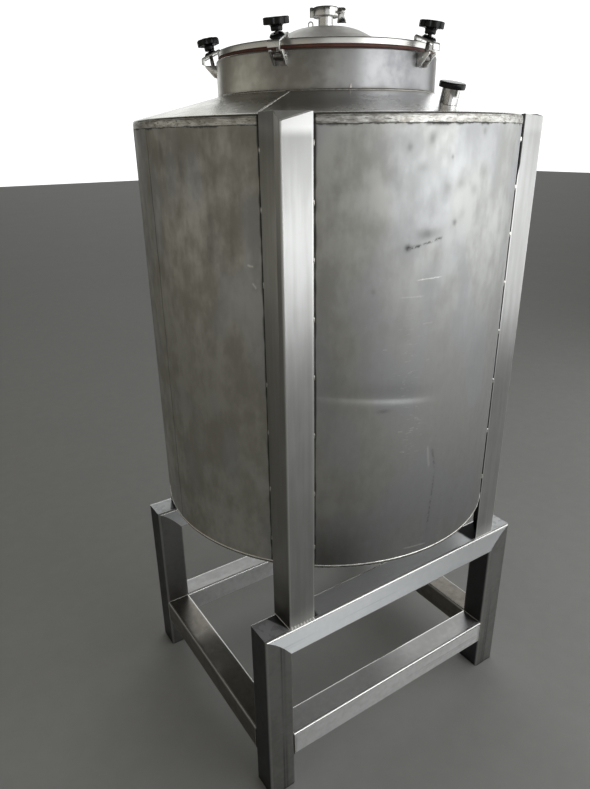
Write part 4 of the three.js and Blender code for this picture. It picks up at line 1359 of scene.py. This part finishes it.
def on_nozzle(form):
    """Stands a form square on the cone at the nozzle's place"""
    leaned = form.turned("Y", math.degrees(CONE_ANGLE))
    return leaned.moved(NOZZLE_REACH, 0, roof_z(NOZZLE_REACH)).turned("Z", NOZZLE_TURN)


nozzle = softened([(PIPE_BORE, FIT), (PIPE_R, FIT), (PIPE_R, NOZZLE_LENGTH - NOZZLE_EDGE - FERRULE_TAPER),
                   (FERRULE_R, NOZZLE_LENGTH - NOZZLE_EDGE), (FERRULE_R, NOZZLE_LENGTH),
                   (PIPE_BORE, NOZZLE_LENGTH)], 0.6)
put("roof_nozzle_pipe", on_nozzle(lathe(nozzle, PIPE_STEPS)), fitting_steel, "roof_nozzle")
cap_top = NOZZLE_LENGTH + CAP_THICK
cap_low = NOZZLE_LENGTH - CAP_SKIRT
cap_inside = FERRULE_R + FIT
cap = softened([(0, NOZZLE_LENGTH + FIT), (cap_inside, NOZZLE_LENGTH + FIT), (cap_inside, cap_low),
                (CAP_R, cap_low), (CAP_R, cap_top), (0, cap_top)],
               [0, 0.3, 0.6, 1.2, CAP_THICK, 0], steps=5, closed=False)
put("roof_nozzle_lid", on_nozzle(lathe(cap, PIPE_STEPS, closed=False)), knob_plastic, "roof_nozzle_cap",
    "cap_plastic")

DRAIN_R = 25.5
DRAIN_FLANGE_R = 32
DRAIN_END = 545
drain = softened([(DRAIN_BORE, DRAIN_END), (DRAIN_FLANGE_R, DRAIN_END), (DRAIN_FLANGE_R, DRAIN_END + 3),
                  (DRAIN_R, DRAIN_END + 5), (DRAIN_R, bottom_z(DRAIN_R) - FIT),
                  (DRAIN_BORE, bottom_z(DRAIN_BORE) - FIT)], [0.5, 0.5, 0.5, 1.5, 0.2, 0.2])
put("drain_pipe", lathe(drain, PIPE_STEPS), fitting_steel, "drain_ferrule")
print("nozzle, cap and drain ready")

# %% [markdown]
# ## The lid clamps
# Five clamps press the lid down. Each is made once, in the plane that runs out from the tank's axis, with the
# pin at the origin, and then turned to its place. The bolt and the arm swing together, and the knob turns.

# %% Clamp parts
CLAMP_FIRST = -146.5
CLAMP_COUNT = 5
PIN_REACH = 293.5
PIN_Z = 1931
PIN_R = 4
PIN_END = 3
EAR_GAP = 24
EAR_THICK = 4
EAR_RISE = 10.5
EAR_DROP = 19
EAR_OUT = 19.5
EAR_NOSE = 4
WEB_THICK = 2.2
BOLT_TILT = 10
BOLT_R = 5
BOLT_LENGTH = 70
BOLT_EYE_R = 9
BOLT_EYE_WIDTH = 18
THREAD_PITCH = 1.75
THREAD_START = 22
THREAD_DEPTH = 0.9
ARM_WIDTH = 30
ARM_STRIP = 4.2
ARM_BEND = 3
HEEL_IN = 24.5
HEEL_OUT = 28.5
HEEL_FOOT = 13
HEEL_TOP = 28
TOE_IN = -24
TOE_OUT = -17.5
TOE_TOP = 48
KNOB_R = 28.5
KNOB_UNDER = 59.5
KNOB_TOP = 74.5
KNOB_LOBES = 9
KNOB_VALLEY = 3.0
HUB_R = 13
SEAT_WIDE = 17
SEAT_HIGH = 6
RUNNING = 0.4


def neck_root(across):
    """Where a line at this distance from the clamp's middle plane meets the neck, seen from the pin"""
    return math.sqrt((NECK_R + FIT) ** 2 - across ** 2) - PIN_REACH


def bracket():
    """Two ears with a pin across them: two soft plates and a round bar"""
    ear_y = (EAR_GAP + EAR_THICK) / 2
    root = neck_root(ear_y)
    ear = softened([(root, -EAR_DROP), (-EAR_NOSE, -EAR_DROP), (EAR_OUT, EAR_RISE - EAR_NOSE),
                    (EAR_OUT, EAR_RISE), (root, EAR_RISE)], [0.3, 3, 2, 1.5, 0.3], steps=4)
    pin_half = EAR_GAP / 2 + EAR_THICK + PIN_END
    pin = bar(PIN_R, -pin_half, pin_half, 1.2).turned("X", 90)
    return together([*two_plates(ear, ear_y, EAR_THICK, SOFT_EDGE), pin])


def back_plate():
    """The web of the bracket: a thin plate on the neck between the ears, dark as painted shade"""
    half = EAR_GAP / 2
    root = neck_root(half)
    return standing(prism(oblong(root, root + WEB_THICK, -EAR_DROP, EAR_RISE), -half, half, 0.4))


def threaded_bolt():
    """An eye on the pin and a shank with a thread: its radius falls and rises with height and angle"""
    half = BOLT_EYE_WIDTH / 2
    eye_ring = softened(oblong(PIN_R + RUNNING, BOLT_EYE_R, -half, half), 1)
    rise = np.arange(BOLT_EYE_R - 1.5, BOLT_LENGTH, THREAD_PITCH / 5)
    angle = np.linspace(0, TAU, 20, endpoint=False)
    rise, angle = np.meshgrid(rise, angle, indexing="ij")
    wave = np.abs((rise / THREAD_PITCH - angle / TAU) % 1 * 2 - 1)
    cut = np.clip((rise - THREAD_START) / 3, 0, 1) * THREAD_DEPTH
    r = BOLT_R - cut * wave
    r[0] = 0
    r[-1] = 0
    shank = grid(np.stack([r * np.cos(angle), r * np.sin(angle), rise], axis=-1), wrap_columns=True)
    return together([lathe(eye_ring, 32).turned("X", 90), shank.turned("Y", BOLT_TILT)])


heel_corner = HEEL_OUT - ARM_BEND / 2
arm_slope = math.atan2(TOE_TOP - HEEL_TOP, heel_corner - TOE_OUT)


def arm():
    """A bent strip: the outline of its side, given its width along Y and soft edges"""
    under = ARM_STRIP / math.cos(arm_slope)
    toe_tip = lid_flat + FIT - PIN_Z
    toe_face = TOE_OUT - ARM_BEND / 2
    side = np.array([
        (HEEL_IN, HEEL_FOOT), (HEEL_OUT, HEEL_FOOT), (HEEL_OUT, HEEL_TOP), (toe_face, TOE_TOP + 0.6),
        (TOE_IN, TOE_TOP - ARM_BEND), (TOE_IN, toe_tip), (toe_face, toe_tip),
        (toe_face + 1, TOE_TOP - under - 1), (HEEL_IN, HEEL_TOP - under + 1),
    ])
    side = softened(side, [1, 1, 4, 4, 4, 1, 1, 2, 1], steps=4)
    return standing(prism(side, -ARM_WIDTH / 2, ARM_WIDTH / 2, 0.7))


lean = arm_slope - math.radians(BOLT_TILT)
arm_offset = math.sin(arm_slope) * heel_corner + math.cos(arm_slope) * HEEL_TOP
arm_touch = arm_offset / math.cos(lean)
hub_start = arm_touch + SEAT_HIGH * math.cos(lean) + (HUB_R + 0.5) * math.sin(lean) + FIT


def star_knob():
    """A profile turned round the bolt whose radius also waves with the angle: shallow lobes round a flat
    head"""
    bore = BOLT_R + RUNNING
    end = BOLT_LENGTH + FIT
    dish = KNOB_TOP - 1.6
    hub = [(0, end), (bore, end), (bore, hub_start), (HUB_R - 1, hub_start), (HUB_R, hub_start + 3),
           (HUB_R, KNOB_UNDER - 3), (HUB_R + 3, KNOB_UNDER - 0.5)]
    head = [(KNOB_R, KNOB_UNDER), (KNOB_R, KNOB_TOP - 1), (HUB_R + 7, KNOB_TOP), (HUB_R + 4, dish), (0, dish)]
    profile = softened(hub + head, [0, 0.3, 0.6, 1, 2, 2, 2, 2, 2.2, 1.5, 1, 0], steps=4, closed=False)
    angle = np.linspace(0, TAU, 144, endpoint=False)[:, None]
    r, z = profile.T
    lobed = np.clip((r - HUB_R - 8) / (KNOB_R - HUB_R - 8), 0, 1)
    wave = (0.5 - 0.5 * np.cos(KNOB_LOBES * angle)) ** 2
    r = r - KNOB_VALLEY * lobed * wave
    points = np.stack([r * np.cos(angle), r * np.sin(angle), z + 0 * angle], axis=-1)
    return grid(points, wrap_rows=True).turned("Y", BOLT_TILT)


def seat_washer():
    """The black flared seat between arm and hub, square on the arm where the bolt passes through"""
    hole = BOLT_R + 2.2
    profile = softened([(hole, FIT), (SEAT_WIDE, FIT), (SEAT_WIDE, 1.6), (HUB_R + 0.5, SEAT_HIGH),
                        (hole, SEAT_HIGH)], [0.3, 0.5, 0.8, 0.8, 0.3])
    tilt = math.radians(BOLT_TILT)
    washer = lathe(profile, 48).turned("Y", math.degrees(arm_slope))
    return washer.moved(arm_touch * math.sin(tilt), 0, arm_touch * math.cos(tilt))


for index in range(CLAMP_COUNT):
    turn = CLAMP_FIRST + index * 360 / CLAMP_COUNT
    x, y = (PIN_REACH * along(math.radians(turn)) for along in (math.cos, math.sin))
    label = f"clamp_{index + 1}"
    swing = f"{label}_swing"
    parts = (("bracket_ears", bracket(), clamp_steel, f"{label}_bracket", "clamp_steel", "tank"),
             ("bolt_thread", threaded_bolt(), shaded_bolt_steel, f"{label}_bolt", "clamp_steel", swing),
             ("arm_strip", arm(), clamp_steel, f"{label}_arm", "clamp_steel", swing),
             ("knob_star", star_knob(), knob_plastic, f"{label}_knob", "knob_plastic", f"{label}_turn"),
             ("seat", seat_washer(), knob_plastic, None, "knob_plastic", swing),
             ("back_plate", back_plate(), shaded_bolt_steel, None, "clamp_steel", "tank"))
    for suffix, form, *rest in parts:
        put(f"{label}_{suffix}", form.turned("Z", turn).moved(x, y, PIN_Z), *rest)
print("clamps:", CLAMP_COUNT)

# %% [markdown]
# ## Welds on the vessel
# Now the beads go where the plates meet: round the roof's edge, the bottom rim and the foot of the neck, and
# down the seams of the roof and the neck.

# %% Vessel welds
SEAM_TURN = math.radians(-142)
NECK_SEAM_TURN = math.radians(-114.7)
NECK_SEAM_LENGTH = 12
BAND_LOW = 1
BAND_HIGH = 13
BAND_ROWS = 14
BAND_STEPS = 1800
BAND_LUMPS = ((3, 220, 11, 0.6), (6, 520, 12, 0.4))
BAND_EDGE = (1, 160, 13)
BAND_BACK = 1.2
RIM_BEAD = (2.4, 2.2, 6.0)
NECK_BEAD = (2.4, 1.9, 6.0)
ROOF_SEAM_BEAD = (2.0, 1.8, 3.2)
NECK_SEAM_BEAD = (1.8, 0.5, 3.0)
# Painted highlight: the arc of the neck's foot weld on the left is the bright weld, the rest the plain one
NECK_FOOT = (("bright", 170, 216, 0.2), ("dull", 216, 530, 0.1))


def at(turn, r, z):
    """The point at an angle round the tank's axis, a distance from it and a height"""
    return np.array([r * math.cos(turn), r * math.sin(turn), z])


def patchwork(rows, columns, cells_down, cells_round, seed):
    """Smooth random heights from 0 to 1: a small random table, eased between its cells, closed round"""
    table = np.random.default_rng(seed).uniform(0, 1, (cells_down + 1, cells_round))
    down = np.linspace(0, cells_down, rows, endpoint=False)[:, None]
    around = np.linspace(0, cells_round, columns, endpoint=False)[None, :]
    i, j = down.astype(int), around.astype(int)
    u, v = (0.5 - 0.5 * np.cos(math.pi * (t % 1)) for t in (down, around))
    after = (j + 1) % cells_round
    upper = table[i, j] * (1 - v) + table[i, after] * v
    lower = table[i + 1, j] * (1 - v) + table[i + 1, after] * v
    return upper * (1 - u) + lower * u


def ground_band(low, high):
    """A rough band of ground weld round the shell. Its face stands out by a patchwork of two sizes of lump,
    and falls back to the sheet at its upper and lower edges, which wander."""
    lumps = sum(patchwork(BAND_ROWS, BAND_STEPS, *cells) * share for *cells, share in BAND_LUMPS)
    edge = patchwork(1, BAND_STEPS, *BAND_EDGE)[0]
    share = np.linspace(0, 1, BAND_ROWS)[:, None]
    z = low - 1.5 * edge + (high - low + 2.0 * edge) * share
    window = np.sqrt(np.clip(1 - (2 * share - 1) ** 6, 0, 1))
    r = SHELL_R - 0.4 + (0.7 + 0.9 * lumps) * window
    angle = np.linspace(0, TAU, BAND_STEPS, endpoint=False)
    face = np.stack([r * np.cos(angle), r * np.sin(angle), z], axis=-1)
    inner = SHELL_R - BAND_BACK
    back = [np.stack([inner * np.cos(angle), inner * np.sin(angle), z[row]], axis=-1) for row in (-1, 0)]
    return grid(np.concatenate([face, np.stack(back)]), wrap_rows=True, wrap_columns=True)


put("roof_edge_weld", ground_band(SHELL_TOP - BAND_LOW, SHELL_TOP + BAND_HIGH), roof_steel)
rim_path, rim_out = circle(SHELL_R - 0.6, SHELL_BOTTOM, 1200)
rim_bead = bead(rim_path, rim_out, *RIM_BEAD, closed=True, seed=4, ripple=0.1)
put("bottom_rim_weld", rim_bead, bright_weld, slot="shell_steel")
for label, start, end, ripple in NECK_FOOT:
    steps = int((end - start) * 2.5)
    neck_path, neck_out = circle(NECK_R + 0.4, roof_z(NECK_R) + 0.6, steps, start, end - 0.1)
    foot = bead(neck_path, lifted(neck_out, 45), *NECK_BEAD, seed=5, ripple=ripple)
    finish = bright_weld if label == "bright" else weld_steel
    put(f"neck_foot_weld_{label}", foot, finish, slot="neck_steel")
seam_up = at(SEAM_TURN, math.sin(CONE_ANGLE), math.cos(CONE_ANGLE))
seam_path = line(*(at(SEAM_TURN, r, roof_z(r)) for r in (SHELL_R - 8, NECK_R + 1)))
put("roof_seam_weld", bead(seam_path, seam_up, *ROOF_SEAM_BEAD, seed=6), bright_weld, slot="roof_steel")
neck_seam = line(*(at(NECK_SEAM_TURN, NECK_R, roof_z(NECK_R) + up) for up in (0, NECK_SEAM_LENGTH)))
neck_seam_bead = bead(neck_seam, at(NECK_SEAM_TURN, 1, 0), *NECK_SEAM_BEAD, seed=7)
put("neck_seam_weld", neck_seam_bead, weld_steel, slot="neck_steel")
print("vessel welds ready")

# %% [markdown]
# ## Tacks and post feet
# Each post is held by a row of short tacks down both free edges. At the front of a left foot the weld is a
# row of drops. Elsewhere it was ground low, so it is a flat bead.

# %% Tacks down the posts
TACK_HEIGHTS = {"x": (1754, 1641, 1524, 1396, 1261, 1115, 957, 801),
                "y": (1742, 1626, 1469, 1236, 1115, 960, 815)}
TACK_PLACE = (POST_CORNER - POST_LEG - 1.5, POST_CORNER - 1, 0)
TACK_OUT = (-0.35, 0.94, 0)
TACK_SIZE = (15, 3, 1.6)
DROP_PITCH = 9.75
DROP_SIZE = (8.6, 5.4, 5.0)
LOW_BEAD = (1.6, 1.2, 5.0)
LEANING = 0.7
for bank, hand, sx, sy in CORNERS:
    corner = np.array([sx * POST_CORNER, sy * POST_CORNER, STAND_TOP])
    flip = np.array([sx, sy, 1])
    drops = []
    feet = []
    for face, heights in TACK_HEIGHTS.items():
        order = [0, 1, 2] if face == "x" else [1, 0, 2]
        place, out = (np.array(values)[order] * flip for values in (TACK_PLACE, TACK_OUT))
        drops += [tack(place + [0, 0, z], (0, 0, 1), out, *TACK_SIZE) for z in heights]
        along = np.array([-1, 0, 0])[order] * flip
        out = np.array([0, LEANING, LEANING])[order] * flip
        if face == "x" and hand == "left":
            places = np.arange(DROP_PITCH / 2, POST_LEG, DROP_PITCH)
            feet += [tack(corner + along * place, along, out, *DROP_SIZE, 12) for place in places]
        else:
            path = line(corner, corner + along * (POST_LEG - 1), 0.8)
            feet.append(bead(path, out, *LOW_BEAD, seed=8, ripple=0.12))
    put(f"post_{bank}_{hand}_tacks", together(drops), bright_weld, slot="post_steel")
    put(f"post_{bank}_{hand}_foot_weld", together(feet), drop_weld, slot="post_steel")
print("tacks per post:", sum(len(heights) for heights in TACK_HEIGHTS.values()))

# %% Welds of the low rails
RAIL_BEAD = (1.5, 1.1, 5.0)
section = rounded_square(TUBE, TUBE_ROUND)
u, v = section.T
unit = section / np.linalg.norm(section, axis=1, keepdims=True)
for bank, hand, sx, sy in CORNERS:
    loops = []
    rails = ((9, [0, 1, 2], sx * (STAND_HALF_X - TUBE), sy * leg_y, [sx, 0, 0]),
             (10, [1, 0, 2], sy * (STAND_HALF_Y - TUBE), sx * leg_x, [0, sy, 0]))
    for seed, order, end, middle, side in rails:
        path = np.column_stack([0 * u + end, u + middle, v + low_rail_z])[:, order]
        outward = np.column_stack([0 * u, unit])[:, order]
        loops.append(bead(path, (outward - side) / math.sqrt(2), *RAIL_BEAD, closed=True, seed=seed))
    put(f"low_rail_welds_{bank}_{hand}", together(loops), weld_steel, slot="stand_steel")
print("low rail welds:", 2 * len(CORNERS))

# %% [markdown]
# ## The floor
# A plain pale floor carries the shadow. It is stage, not part of the tank.

# %% Floor
FLOOR_HALF = 30000
FLOOR_PALE = (0.4, 0.4, 0.39, 1)
FLOOR_DARK = (0.37, 0.37, 0.36, 1)
floor_paint = moulded("floor_paint", FLOOR_PALE, FLOOR_DARK, 0.7, 0.8, 0.0005)
floor_data = bpy.data.meshes.new("floor")
corners = np.array([(-1, -1, 0), (1, -1, 0), (1, 1, 0), (-1, 1, 0)]) * FLOOR_HALF * MM
floor_data.from_pydata(corners.tolist(), [], [(0, 1, 2, 3)])
floor_data.materials.append(floor_paint.material)
floor = bpy.data.objects.new("floor", floor_data)
bpy.context.scene.collection.objects.link(floor)
print("floor ready")
